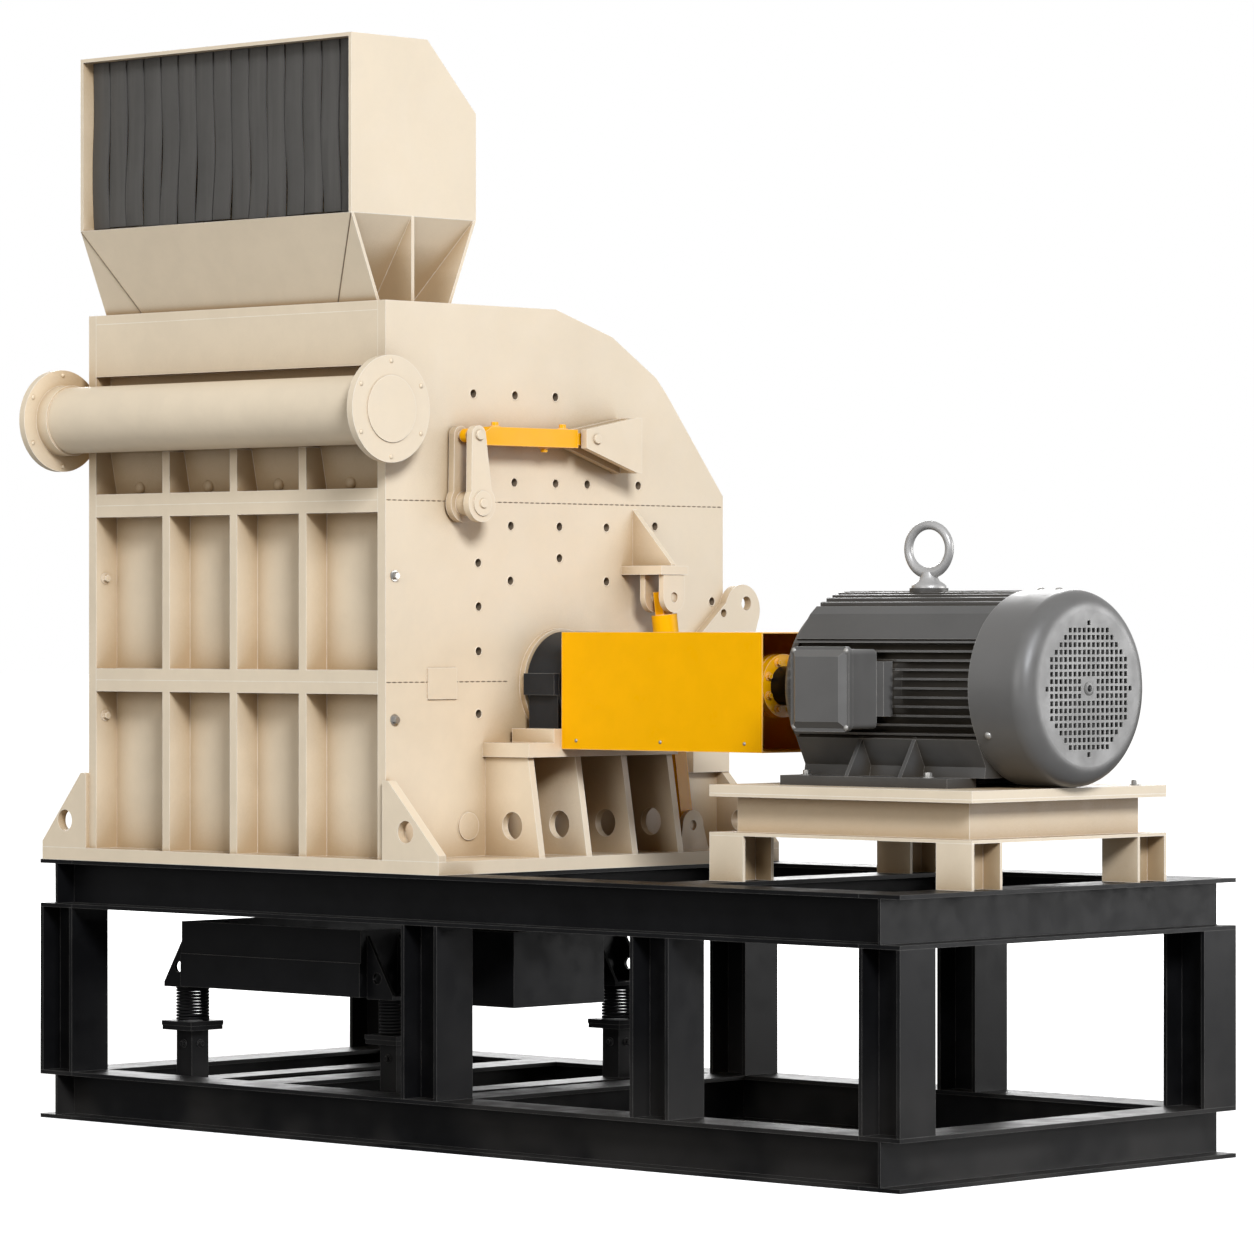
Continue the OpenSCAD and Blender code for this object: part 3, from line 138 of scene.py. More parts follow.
class CrusherSprings(bpy.types.PropertyGroup):
    """Sizes of the tray's coil springs."""

    width: length_property("Width", "Outer width of a spring", 0.112)
    wire: length_property("Wire", "Diameter of the spring wire", 0.009)
    turns: count_property("Turns", "Turns of each spring", 3, 14, 11)
    sides: count_property("Sides", "Corners round the wire", 6, 24, 12)
    steps: count_property("Steps", "Rings in a turn", 12, 64, 36)


class CrusherCurtain(bpy.types.PropertyGroup):
    """Sizes of the rubber curtain in the inlet."""

    strips: count_property("Strips", "Strips in the curtain", 6, 24, 15)
    thickness: length_property("Thickness", "Thickness of a strip", 0.007)
    lap: length_property("Lap", "How far a strip stands off its neighbour", 0.004)
    wave: length_property("Wave", "How far a strip's lower end swings", 0.007)


class CrusherBolts(bpy.types.PropertyGroup):
    """Widths of the bolts and screws; a hexagon's is across its flats."""

    dome: length_property("Dome", "Domed bolts of the housing's joint", 0.044)
    medium: length_property("Medium", "Bolts of the casing, bars and feet", 0.021)
    small: length_property("Small", "Bolts of the coupling and posts", 0.016)
    screw: length_property("Screw", "Screws of the tube's covers", 0.015)


class CrusherStage(bpy.types.PropertyGroup):
    """Camera and lights."""

    lens: amount_property("Lens", "Focal length in millimetres", 164.2)
    turn: FloatProperty(
        name="Turn", description="Camera heading", subtype="ANGLE", default=math.radians(43.5))
    key: amount_property("Key", "Power of the large lamp in watts", 5500)
    front: amount_property("Front", "Power of the wide front lamp in watts", 1250)
    rear: amount_property("Rear", "Power of the rear lamp in watts", 1900)
    card: amount_property("Card", "Power of the card seen in glossy paint, in watts", 1800)
    fill: amount_property("Fill", "Strength of the world's light", 0.14)
    glow: amount_property("Glow", "How far the floor is lifted", 0.72)


# Meshes worked out on grids


def quads(rows, columns, wrap=False):
    """Corner numbers of the faces between the rows and columns of a grid of points."""
    index = np.arange(rows * columns).reshape(rows, columns)
    left = index if wrap else index[:, :-1]
    right = np.roll(index, -1, 1) if wrap else index[:, 1:]
    return np.stack([left[:-1], right[:-1], right[1:], left[1:]], -1).reshape(-1, 4)


def lathe(profile, sides=24, shape=None):
    """A turned form: row i is a ring of radius r_i at height h_i, so x = r cos a, y = r sin a and
    z = h. shape, if given, scales each ring by its own function of the angle."""
    angle = np.arange(sides) / sides * TAU
    radius, height = np.asarray(profile, float).T
    ring = radius[:, None] * (np.ones(sides)[None] if shape is None else shape(angle))
    points = np.stack([ring * np.cos(angle), ring * np.sin(angle),
                       np.repeat(height[:, None], sides, 1)], -1)
    rows = len(radius)
    first = np.arange(sides)[::-1][None]
    last = (np.arange(sides) + (rows - 1) * sides)[None]
    return points.reshape(-1, 3), [quads(rows, sides, True), first, last]


def hex_bolt(flats):
    """A hexagon head on a washer: each ring's radius is the washer's, or the hexagon's apothem over
    the cosine of the angle from the nearest flat's middle, cut back to a circle at the chamfer."""
    apothem = flats / 2
    washer = flats * 0.86
    lift = flats * 0.16
    tall = flats * 0.62
    rows = [(washer, 0), (washer, lift), (apothem, lift), (apothem, lift + tall * 0.82),
            (apothem * 0.98, lift + tall), (apothem * 0.3, lift + tall)]
    hexagon = np.array([0, 0, 1, 1, 0, 0], float)[:, None]

    def shape(angle):
        from_flat = (angle + TAU / 12) % (TAU / 6) - TAU / 12
        return 1 + hexagon * (1 / np.cos(from_flat)[None] - 1)

    return lathe(rows, 24, shape)


def round_head(width):
    """A low domed screw head: radius falls as the cosine and height rises as the sine."""
    tall = width * 0.32
    sunk = width * 0.1
    t = np.linspace(0, 1, 6) * TAU / 4 * 0.94
    profile = np.stack([width / 2 * np.cos(t), tall * np.sin(t)], -1)
    return lathe(np.concatenate([[[width / 2, -sunk]], profile]), 20)


def ring_bead(radius, wire, sides=28, around=8):
    """A flat torus: an ellipse, 0.6 as high as wide, is carried round a circle of that radius."""
    a = np.arange(sides) / sides * TAU
    b = np.arange(around) / around * TAU
    r = radius + wire * np.cos(b)[:, None]
    points = np.stack([r * np.cos(a), r * np.sin(a),
                       np.repeat(0.6 * wire * np.sin(b)[:, None], sides, 1)], -1)
    rows = np.concatenate([points, points[:1]], 0)
    return rows.reshape(-1, 3), [quads(around + 1, sides, True)]


def bead(length, width, height):
    """A short raised dash along X: its width swells as a sine towards its middle, and across it the
    height is half an ellipse."""
    u = np.linspace(0, 1, 5)
    v = np.linspace(0, math.pi, 5)
    swell = 0.35 + 0.65 * np.sin(u * math.pi)
    points = np.stack([np.repeat(((u - 0.5) * length)[:, None], 5, 1),
                       -width / 2 * swell[:, None] * np.cos(v),
                       height * swell[:, None] * np.sin(v)], -1)
    return points.reshape(-1, 3), [quads(5, 5)]


def sleeve(radius, wall, length):
    """A thin tube along Z: the rectangle of its wall is carried round a circle."""
    sides = 20
    a = np.arange(sides) / sides * TAU
    r = radius - np.array([0, 0, wall, wall, 0])
    z = np.array([0, length, length, 0, 0])
    points = np.stack([r[:, None] * np.cos(a), r[:, None] * np.sin(a),
                       np.repeat(z[:, None], sides, 1)], -1)
    return points.reshape(-1, 3), [quads(5, sides, True)]


def turned(axis):
    """A rotation whose third column is the axis; the second is as near upright as it can be."""
    z = np.asarray(axis, float) / np.linalg.norm(axis)
    up = np.array([0, 0, 1.0]) if abs(z[2]) < 0.9 else np.array([0, 1.0, 0])
    x = np.cross(up, z)
    x /= np.linalg.norm(x)
    return np.stack([x, np.cross(z, x), z], -1)


def copies(form, places, axis):
    """The form set at every place with its Z turned to the axis, as one set of points and faces."""
    points, faces = form
    places = np.asarray(places, float).reshape(-1, 3)
    moved = points @ turned(axis).T
    cloud = moved[None] + places[:, None]
    shift = (np.arange(len(places)) * len(points))[:, None, None]
    return cloud.reshape(-1, 3), [(f[None] + shift).reshape(-1, f.shape[1]) for f in faces]


def joined(forms):
    """Several forms as one."""
    start, clouds, faces = 0, [], []
    for points, parts in forms:
        clouds.append(points)
        faces += [part + start for part in parts]
        start += len(points)
    return np.concatenate(clouds), faces


def piece(name, form, material, body="machine", sharp=35):
    """Makes a mesh object of a form and lets it ride on a body."""
    points, faces = form
    mesh = bpy.data.meshes.new(name)
    mesh.from_pydata(points.tolist(), [], [f for part in faces for f in part.tolist()])
    mesh.update()
    mesh.shade_smooth()
    mesh.set_sharp_from_angle(angle=math.radians(sharp))
    mesh.materials.append(material)
    made = bpy.data.objects.new(name, mesh)
    bpy.context.scene.collection.objects.link(made)
    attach(made, body)
    return made


# Shader node groups


class Graph:
    """Adds nodes to a tree and links them in one line each."""

    def __init__(self, tree):
        self.tree = tree

    def add(self, kind, settings=None, **sockets):
        """A new node with its settings, and its inputs set to values or linked to outputs."""
        made = self.tree.nodes.new(kind)
        for key, value in (settings or {}).items():
            setattr(made, key, value)
        for key, value in sockets.items():
            target = made.inputs[int(key[1:])] if key[0] == "i" and key[1:].isdigit() \
                else made.inputs[key.replace("_", " ")]
            if isinstance(value, bpy.types.NodeSocket):
                self.tree.links.new(value, target)
            else:
                target.default_value = value
        return made

    def noise(self, vector, scale, detail=3.0, rough=0.5):
        """Fractal noise on the vector."""
        return self.add("ShaderNodeTexNoise", Vector=vector, Scale=scale, Detail=detail,
                        Roughness=rough).outputs["Fac"]

    def ramp(self, value, low, high, to_low=0.0, to_high=1.0):
        """Maps low..high of a value smoothly to new limits."""
        return self.add("ShaderNodeMapRange", {"interpolation_type": "SMOOTHSTEP"}, Value=value,
                        i1=low, i2=high, i3=to_low, i4=to_high).outputs["Result"]

    def maths(self, kind, a, b):
        """One arithmetic step."""
        return self.add("ShaderNodeMath", {"operation": kind}, i0=a, i1=b).outputs[0]

    def mix(self, factor, a, b, blend="MIX"):
        """Mixes two colours."""
        made = self.add("ShaderNodeMix", {"data_type": "RGBA", "blend_type": blend})
        for target, value in ((0, factor), (6, a), (7, b)):
            if isinstance(value, bpy.types.NodeSocket):
                self.tree.links.new(value, made.inputs[target])
            else:
                made.inputs[target].default_value = value
        return made.outputs[2]


def new_group(name, inputs, outputs):
    """An empty shader group with its sockets, and the graph that fills it."""
    tree = bpy.data.node_groups.new(name, "ShaderNodeTree")
    for label, kind, default in inputs:
        socket = tree.interface.new_socket(name=label, in_out="INPUT", socket_type=kind)
        socket.default_value = default
    for label, kind in outputs:
        tree.interface.new_socket(name=label, in_out="OUTPUT", socket_type=kind)
    graph = Graph(tree)
    return tree, graph, graph.add("NodeGroupInput"), graph.add("NodeGroupOutput")


FILM_OUTPUTS = [("Colour", "NodeSocketColor"), ("Roughness", "NodeSocketFloat"),
                ("Height", "NodeSocketFloat")]


def paint_film_group():
    """Sprayed paint: drifts in tone, a painted highlight along every edge, painted shade in
    recesses, dust low down and on top, and orange peel."""
    tree, g, source, sink = new_group(
        "Paint film",
        [("Colour", "NodeSocketColor", (0.8, 0.8, 0.8, 1)), ("Edge", "NodeSocketFloat", 0.5),
         ("Edge width", "NodeSocketFloat", 0.004), ("Drift", "NodeSocketFloat", 0.06),
         ("Dust", "NodeSocketFloat", 0.1), ("Gloss", "NodeSocketFloat", 0.35),
         ("Peel", "NodeSocketFloat", 0.3), ("Recess shade", "NodeSocketFloat", 0.0),
         ("Reach", "NodeSocketFloat", 0.2)],
        FILM_OUTPUTS)
    inp = source.outputs
    place = g.add("ShaderNodeTexCoord").outputs["Object"]
    broad = g.noise(place, 1.7, 3.0, 0.55)
    spot = g.noise(place, 11.0, 4.0, 0.6)
    tone = g.maths("ADD", g.ramp(broad, 0.3, 0.7, -1.0, 1.0), g.ramp(spot, 0.35, 0.65, -0.5, 0.5))
    value = g.maths("ADD", 1.0, g.maths("MULTIPLY", tone, inp["Drift"]))
    toned = g.add("ShaderNodeHueSaturation", i2=value, i4=inp["Colour"]).outputs[0]
    # Painted highlight: a pale line along every edge, where the bevelled normal leaves the face's,
    # broken up by noise
    soft = g.add("ShaderNodeBevel", {"samples": 6}, Radius=inp["Edge width"]).outputs[0]
    true = g.add("ShaderNodeNewGeometry").outputs["Normal"]
    along = g.add("ShaderNodeVectorMath", {"operation": "DOT_PRODUCT"}, i0=soft, i1=true)
    edge = g.maths("MULTIPLY", g.ramp(along.outputs["Value"], 0.995, 0.80), inp["Edge"])
    edge_highlight = g.maths("MULTIPLY", edge, g.ramp(spot, 0.3, 0.6, 0.6, 1.0))
    # Painted shade: an occlusion test within Reach darkens and warms the paint in recesses, corners
    # and between parts
    open_sky = g.add("ShaderNodeAmbientOcclusion", {"samples": 6}, Distance=inp["Reach"])
    recess_shade = g.maths("MULTIPLY", g.ramp(open_sky.outputs["AO"], 0.94, 0.32), inp["Recess shade"])
    shaded = g.mix(recess_shade, toned, RECESS_SHADE_TINT, "MULTIPLY")
    lit = g.mix(edge_highlight, shaded, EDGE_HIGHLIGHT_TINT)
    height = g.add("ShaderNodeSeparateXYZ", Vector=place).outputs["Z"]
    upward = g.add("ShaderNodeSeparateXYZ", Vector=true).outputs["Z"]
    settled = g.maths("MULTIPLY", g.ramp(upward, 0.6, 1.0), g.ramp(spot, 0.35, 0.7))
    low = g.maths("MULTIPLY", g.ramp(height, 0.5, 0.0), g.ramp(broad, 0.4, 0.6))
    dusty = g.maths("MULTIPLY", g.maths("MAXIMUM", settled, low), inp["Dust"])
    dressed = g.mix(dusty, lit, DUST_TINT)
    rough = g.maths("ADD", inp["Gloss"], g.ramp(spot, 0.3, 0.7, -0.06, 0.08))
    rough = g.maths("ADD", rough, g.maths("MULTIPLY", dusty, 0.4))
    peel = g.maths("MULTIPLY", g.noise(place, 420.0, 1.0), inp["Peel"])
    peel = g.maths("ADD", peel, g.maths("MULTIPLY", spot, 0.25))
    g.tree.links.new(dressed, sink.inputs["Colour"])
    g.tree.links.new(rough, sink.inputs["Roughness"])
    g.tree.links.new(peel, sink.inputs["Height"])
    return tree


def metal_grain_group():
    """Turned or plated metal: fine streaks along Z and a mottled polish."""
    tree, g, source, sink = new_group(
        "Metal grain",
        [("Colour", "NodeSocketColor", (0.5, 0.5, 0.5, 1)), ("Polish", "NodeSocketFloat", 0.3)],
        FILM_OUTPUTS)
    inp = source.outputs
    place = g.add("ShaderNodeTexCoord").outputs["Object"]
    streak = g.add("ShaderNodeMapping", Vector=place)
    streak.inputs["Scale"].default_value = (60, 60, 900)
    fine = g.noise(streak.outputs[0], 1.0, 2.0)
    mottle = g.noise(place, 60.0, 3.0)
    toned = g.add("ShaderNodeHueSaturation", i2=g.ramp(mottle, 0.3, 0.7, 0.94, 1.04),
                  i4=inp["Colour"]).outputs[0]
    g.tree.links.new(toned, sink.inputs["Colour"])
    g.tree.links.new(g.maths("ADD", inp["Polish"], g.ramp(fine, 0.3, 0.7, -0.03, 0.05)),
                     sink.inputs["Roughness"])
    g.tree.links.new(g.maths("MULTIPLY", fine, 0.5), sink.inputs["Height"])
    return tree


def new_material(name):
    """A material with an empty tree, its graph and its output."""
    material = bpy.data.materials.new(name)
    material.use_nodes = True
    material.node_tree.nodes.clear()
    graph = Graph(material.node_tree)
    return material, graph, graph.add("ShaderNodeOutputMaterial")


def finish(name, group, colour, metallic, bump, settings, shine=0.4):
    """A Principled material fed by a group with its own values."""
    material, g, out = new_material(name)
    node = g.add("ShaderNodeGroup", {"node_tree": group})
    node.inputs["Colour"].default_value = (*colour, 1)
    for key, value in settings.items():
        node.inputs[key].default_value = value
    normal = g.add("ShaderNodeBump", Strength=0.25, Distance=bump, Height=node.outputs["Height"])
    shader = g.add("ShaderNodeBsdfPrincipled", Base_Color=node.outputs["Colour"],
                   Roughness=node.outputs["Roughness"], Metallic=metallic,
                   Specular_IOR_Level=shine, Normal=normal.outputs[0])
    g.tree.links.new(shader.outputs[0], out.inputs["Surface"])
    return material


def rubber_finish(colour):
    """Matt rubber with faint rubbed streaks down its length and a dusty mottle."""
    material, g, out = new_material("Curtain rubber")
    place = g.add("ShaderNodeTexCoord").outputs["Object"]
    streak = g.add("ShaderNodeMapping", Vector=place)
    streak.inputs["Scale"].default_value = (34, 34, 1.4)
    rubbed = g.noise(streak.outputs[0], 1.0, 4.0, 0.6)
    blotch = g.noise(place, 7.0, 4.0, 0.6)
    pale = g.maths("MULTIPLY", g.ramp(rubbed, 0.4, 0.75), g.ramp(blotch, 0.3, 0.7, 0.35, 1.0))
    streaked = [channel * 1.35 for channel in colour]
    tone = g.mix(pale, (*colour, 1), (*streaked, 1))
    grit = g.noise(place, 260.0, 3.0)
    normal = g.add("ShaderNodeBump", Strength=0.3, Distance=0.001, Height=grit)
    shader = g.add("ShaderNodeBsdfPrincipled", Base_Color=tone, Normal=normal.outputs[0],
                   Roughness=g.ramp(blotch, 0.3, 0.7, 0.55, 0.75))
    g.tree.links.new(shader.outputs[0], out.inputs["Surface"])
    return material


MATERIALS = {}


class CRUSHER_OT_paint(bpy.types.Operator):
    """Makes the finishes and puts them on the frame's nodes"""

    bl_idname = "crusher.paint"
    bl_label = "Paint the frame"

    def execute(self, context):
        paint = context.scene.crusher_paint
        film = paint_film_group()
        grain = metal_grain_group()
        # Each finish's values set how strongly its film paints shade into recesses and a highlight
        # along its edges
        soft = {"Edge": 0.75, "Edge width": 0.004, "Drift": 0.03, "Dust": 0.06, "Gloss": 0.38,
                "Recess shade": 0.95}
        dark = {"Edge": 0.10, "Edge width": 0.003, "Drift": 0.18, "Dust": 0.05, "Gloss": 0.36}
        MATERIALS.update({
            "cream_paint": finish("Cream paint", film, paint.cream, 0.0, 0.0006, soft, 0.1),
            "black_paint": finish("Black paint", film, paint.black, 0.0, 0.0006,
                                  {**dark, "Peel": 0.5}, 0.07),
            "spring_steel": finish("Spring steel", film, paint.black, 0.0, 0.0004,
                                   {**dark, "Edge": 0.0, "Gloss": 0.5}, 0.08),
            "yellow_paint": finish("Yellow paint", film, paint.yellow, 0.0, 0.0005,
                                   {**soft, "Edge": 0.4, "Gloss": 0.33, "Dust": 0.0,
                                    "Recess shade": 0.3}, 0.07),
            "motor_grey": finish("Motor paint", film, paint.motor, 0.0, 0.0009,
                                 {**dark, "Edge": 0.16, "Gloss": 0.44, "Peel": 0.8, "Drift": 0.1,
                                  "Recess shade": 1.0, "Reach": 0.06}, 0.3),
            "cowl_grey": finish("Cowl paint", film, paint.cowl, 0.0, 0.0006,
                                {**dark, "Edge": 0.3, "Gloss": 0.40, "Drift": 0.05}, 0.5),
            "bearing_grey": finish("Casting paint", film, paint.casting, 0.0, 0.0012,
                                   {**dark, "Edge": 0.16, "Gloss": 0.48, "Peel": 1.0}, 0.15),
            "hub_black": finish("Hub black", film, paint.black, 0.0, 0.0005, dark, 0.2),
            "machined_steel": finish("Turned steel", grain, paint.shaft, 1.0, 0.0003,
                                     {"Polish": 0.34}),
            "forged": finish("Forged steel", film, paint.forged, 0.25, 0.0002,
                             {"Edge": 0.0, "Drift": 0.04, "Gloss": 0.36, "Dust": 0.0, "Peel": 0.2}),
            "plated": finish("Plated steel", grain, paint.steel, 0.5, 0.0001, {"Polish": 0.36}),
            "curtain_rubber": rubber_finish(paint.rubber),
            "seam": finish("Seam shade", film, paint.seam, 0.0, 0.0005,
                           {"Edge": 0.0, "Drift": 0.2, "Gloss": 0.7, "Dust": 0.0}),
        })
        for entry in frame["record"]["subparts"]:
            mesh = frame["nodes"][entry["node"]].data
            mesh.materials.clear()
            mesh.materials.append(MATERIALS[entry["material_slot"]])
        return {"FINISHED"}


class CRUSHER_OT_springs(bpy.types.Operator):
    """Winds the four tray springs between their seats and the tray's brackets"""

    bl_idname = "crusher.springs"
    bl_label = "Tray springs"

    def execute(self, context):
        size = context.scene.crusher_springs
        low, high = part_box("tray_springs")
        middle = (low + high) / 2
        reach = (high - low - Vector((size.width, size.width, 0))) / 2
        forms = [self.coil(size, low.z, high.z, middle.x + sx * reach.x, middle.y + sy * reach.y)
                 for sx in (-1, 1) for sy in (-1, 1)]
        made = piece("coil_springs", joined(forms), MATERIALS["spring_steel"],
                     sharp=60)
        made.parent = None
        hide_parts("tray_springs")
        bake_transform(made)
        return {"FINISHED"}

    def coil(self, size, z0, z1, x, y):
        """A helix: the wire's ring of corners is carried round a circle while it climbs from seat
        to seat; it lies flat for the first and last half turn, as a ground end does."""
        count = size.turns * size.steps
        t = np.linspace(0, size.turns, count + 1)
        climb = np.clip((t - 0.5) / (size.turns - 1), 0, 1)
        a = t * TAU
        b = np.arange(size.sides) / size.sides * TAU
        r = (size.width - size.wire) / 2 + size.wire / 2 * np.cos(b)[None]
        z = z0 + size.wire / 2 + climb * (z1 - z0 - size.wire)
        points = np.stack([x + r * np.cos(a)[:, None], y + r * np.sin(a)[:, None],
                           z[:, None] + size.wire / 2 * np.sin(b)[None]], -1)
        first = np.arange(size.sides)[None]
        last = (np.arange(size.sides)[::-1] + count * size.sides)[None]
        return points.reshape(-1, 3), [quads(count + 1, size.sides, True)[:, ::-1], first, last]


class CRUSHER_OT_curtain(bpy.types.Operator):
    """Hangs the rubber strips in the inlet's mouth"""

    bl_idname = "crusher.curtain"
    bl_label = "Inlet curtain"

    def execute(self, context):
        size = context.scene.crusher_curtain
        low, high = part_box("inlet_curtain")
        pitch = (high.x - low.x) / size.strips
        forms = [self.strip(size, low, high, low.x + k * pitch, pitch, k)
                 for k in range(size.strips)]
        made = piece("curtain_strips", joined(forms), MATERIALS["curtain_rubber"],
                     sharp=50)
        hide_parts("inlet_curtain")
        return {"FINISHED"}

    def strip(self, size, low, high, x0, pitch, k):
        """One strip as a closed sheet: u runs 0..1 across it and v 0..1 down it. It stands off by a
        slow sine of v that grows with v, bulges by a sine of u, and sways sideways by another sine
        of v that grows with its root. The phase differs from strip to strip."""
        nu, nv = 7, 33
        u, v = np.meshgrid(np.linspace(0, 1, nu), np.linspace(0, 1, nv))
        phase = 2.4 * k
        gap = 0.004
        clear = 0.006
        uneven = 0.002
        wave = size.wave * 0.4 * np.sin(v * 7.5 + phase) * v
        skew = size.lap * (0.5 - u)
        crown = -size.lap * 0.6 * np.sin(u * math.pi)
        sway = size.wave * np.sin(v * 6.5 - 0.35 * k) * np.sqrt(v)
        y = low.y + size.thickness / 2 + clear + wave + skew + crown
        x = x0 + gap / 2 + u * (pitch - gap) + sway
        z = high.z - v * (high.z - low.z - uneven * (1 + math.sin(phase * 3.1)))
        half = size.thickness / 2
        front = np.stack([x, y - half, z], -1)
        back = np.stack([x, y + half, z], -1)
        loop = np.concatenate([front, back[:, ::-1]], 1)
        columns = 2 * nu
        first = np.arange(columns)[None]
        last = (np.arange(columns)[::-1] + (nv - 1) * columns)[None]
        return loop.reshape(-1, 3), [quads(nv, columns, True)[:, ::-1], first, last]


def mirrored(x):
    """An x on the housing's right side and its mirror on the left, each with its outward sign."""
    return ((x, 1), (2 * HOUSE_X - x, -1))


def wall_point(x, y_mm, z_mm):
    """A point at x, with y measured from the rotor's plane and z from the floor in millimetres."""
    return (x, ROTOR_Y + y_mm * MM, z_mm * MM)


def wall_face():
    """The x of the right side wall's outer face."""
    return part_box("front_wall_lower")[1].x + WALL_THICK


def flange_ring(x, radius, angles, y=ROTOR_Y, z=ROTOR_Z):
    """Points on a circle in a plane across X."""
    return np.stack([np.full(len(angles), x), y + radius * np.cos(angles),
                     z + radius * np.sin(angles)], -1)


class CRUSHER_OT_housing_trim(bpy.types.Operator):
    """Adds the housing's hole rims, seams and casing bolts, and painted shade in its holes and
    along the chute's folds
    """

    bl_idname = "crusher.housing_trim"
    bl_label = "Housing trim"

    # Each place is a y from the rotor's plane and a z from the floor, in millimetres
    HOLES = ((-391, 2403), (-200, 2403), (-12, 2403), (-203, 2120), (-11, 2120), (138, 2120),
             (382, 2120), (-219, 1979), (7, 1979), (230, 1979), (463, 1986), (-369, 1858),
             (7, 1876), (-221, 1801), (230, 1801), (-367, 1717), (-367, 1573), (-367, 1371),
             (743, 1737))
    EDGE_BOLTS = ((-746, 1814), (-746, 1356))
    # Height of each dashed seam and its two ends, measured from the rotor's plane, in metres
    SEAMS = ((JOINT_Z, -0.783, 0.796), (LOWER_JOINT_Z, -0.783, -0.224))

    def execute(self, context):
        bolts = context.scene.crusher_bolts
        self.holes(wall_face())
        self.seams(wall_face())
        self.chute_fold_shade_lines()
        self.joint_domes(bolts.dome)
        self.edge_bolts(wall_face(), bolts.medium)
        return {"FINISHED"}

    def holes(self, wall_x):
        """A raised rim for each round hole of the side walls, and a dark sleeve in it as painted
        shade.
        """
        hole_radius = 0.014
        rim = ring_bead(hole_radius + 0.0015, 0.0022)
        hole_shade = sleeve(hole_radius - 0.0001, 0.0008, 0.033)
        rims, hole_shades = [], []
        for x, side in mirrored(wall_x):
            back = x - side * 0.035
            out = (side, 0, 0)
            rims.append(copies(rim, [wall_point(x, y, z) for y, z in self.HOLES], out))
            hole_shades.append(copies(hole_shade, [wall_point(back, y, z) for y, z in self.HOLES], out))
        piece("wall_hole_rims", joined(rims), MATERIALS["cream_paint"], sharp=60)
        # The dark sleeves are painted shade inside the holes
        piece("wall_hole_shades", joined(hole_shades), MATERIALS["seam"], sharp=60)

    def seams(self, wall_x):
        """Rows of dashes along the joints between the casing's parts."""
        dash = bead(0.021, 0.0042, 0.0016)
        pitch = 0.025
        inset = 0.012
        forms = []
        for x, side in mirrored(wall_x):
            for z, y0, y1 in self.SEAMS:
                ys = np.arange(y0 + inset, y1 - inset, pitch) + ROTOR_Y
                spots = np.stack([np.full_like(ys, x), ys, np.full_like(ys, z)], -1)
                forms.append(copies(dash, spots, (side, 0, 0)))
        piece("wall_seams", joined(forms), MATERIALS["seam"], sharp=60)

    def chute_fold_shade_lines(self):
        """A thin dark line, painted shade along the fold, from each front upper corner of the chute
        to its foot.
        """
        low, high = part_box("inlet_chute")
        inward = 0.18
        backward = 0.114
        radius = 0.0022
        clear = 0.004
        forms = []
        for x, side in mirrored(high.x):
            top = np.array([x, low.y, high.z])
            run = np.array([x - side * inward, low.y + backward, low.z]) - top
            rod = lathe([(radius, clear), (radius, np.linalg.norm(run) - clear)], 10)
            forms.append(copies(rod, [top], run))
        piece("chute_fold_shade_lines", joined(forms), MATERIALS["seam"], sharp=60)

    def joint_domes(self, width):
        """A domed bolt in each bay of the front wall, on the slope above the joint."""
        bays = 4
        aside = 0.045
        above = 0.060
        slope_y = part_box("front_wall_upper")[0].y + 0.092 - 0.0055
        low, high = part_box("front_wall_lower")
        step = (high.x - low.x) / bays
        spots = [(low.x + step * (k + 0.5) - aside, slope_y, JOINT_Z + above) for k in range(bays)]
        piece("joint_domes", copies(round_head(width), spots, (0, -1, 0.2)),
              MATERIALS["cream_paint"])

    def edge_bolts(self, wall_x, flats):
        """Bolts through the side walls' front edges, and their nuts inside."""
        head = hex_bolt(flats)
        outside, inside = [], []
        for x, side in mirrored(wall_x):
            edge = [wall_point(x, y, z) for y, z in self.EDGE_BOLTS]
            behind = np.subtract(edge, (side * WALL_THICK, 0, 0))
            outside.append(copies(head, edge, (side, 0, 0)))
            inside.append(copies(head, behind, (-side, 0, 0)))
        piece("casing_bolts", joined(outside), MATERIALS["plated"])
        piece("casing_nuts", joined(inside), MATERIALS["cream_paint"])


class CRUSHER_OT_tube_bolts(bpy.types.Operator):
    """Bolts the covers on the cross tube's flanges"""

    bl_idname = "crusher.tube_bolts"
    bl_label = "Cross tube bolts"

    def execute(self, context):
        low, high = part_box("cross_tube")
        head = round_head(context.scene.crusher_bolts.screw)
        disc = 0.005
        flange = 0.025
        circle = 0.1515
        y, z = (low.y + high.y) / 2, (low.z + high.z) / 2
        angles = (np.arange(6) / 6 + 0.25) * TAU
        forms = []
        for side, x in ((1, high.x - disc), (-1, low.x + disc)):
            for facing, at in ((side, x), (-side, x - side * flange)):
                ring = flange_ring(at, circle, angles, y, z)
                forms.append(copies(head, ring, (facing, 0, 0)))
        piece("tube_flange_bolts", joined(forms), MATERIALS["cream_paint"])
        return {"FINISHED"}


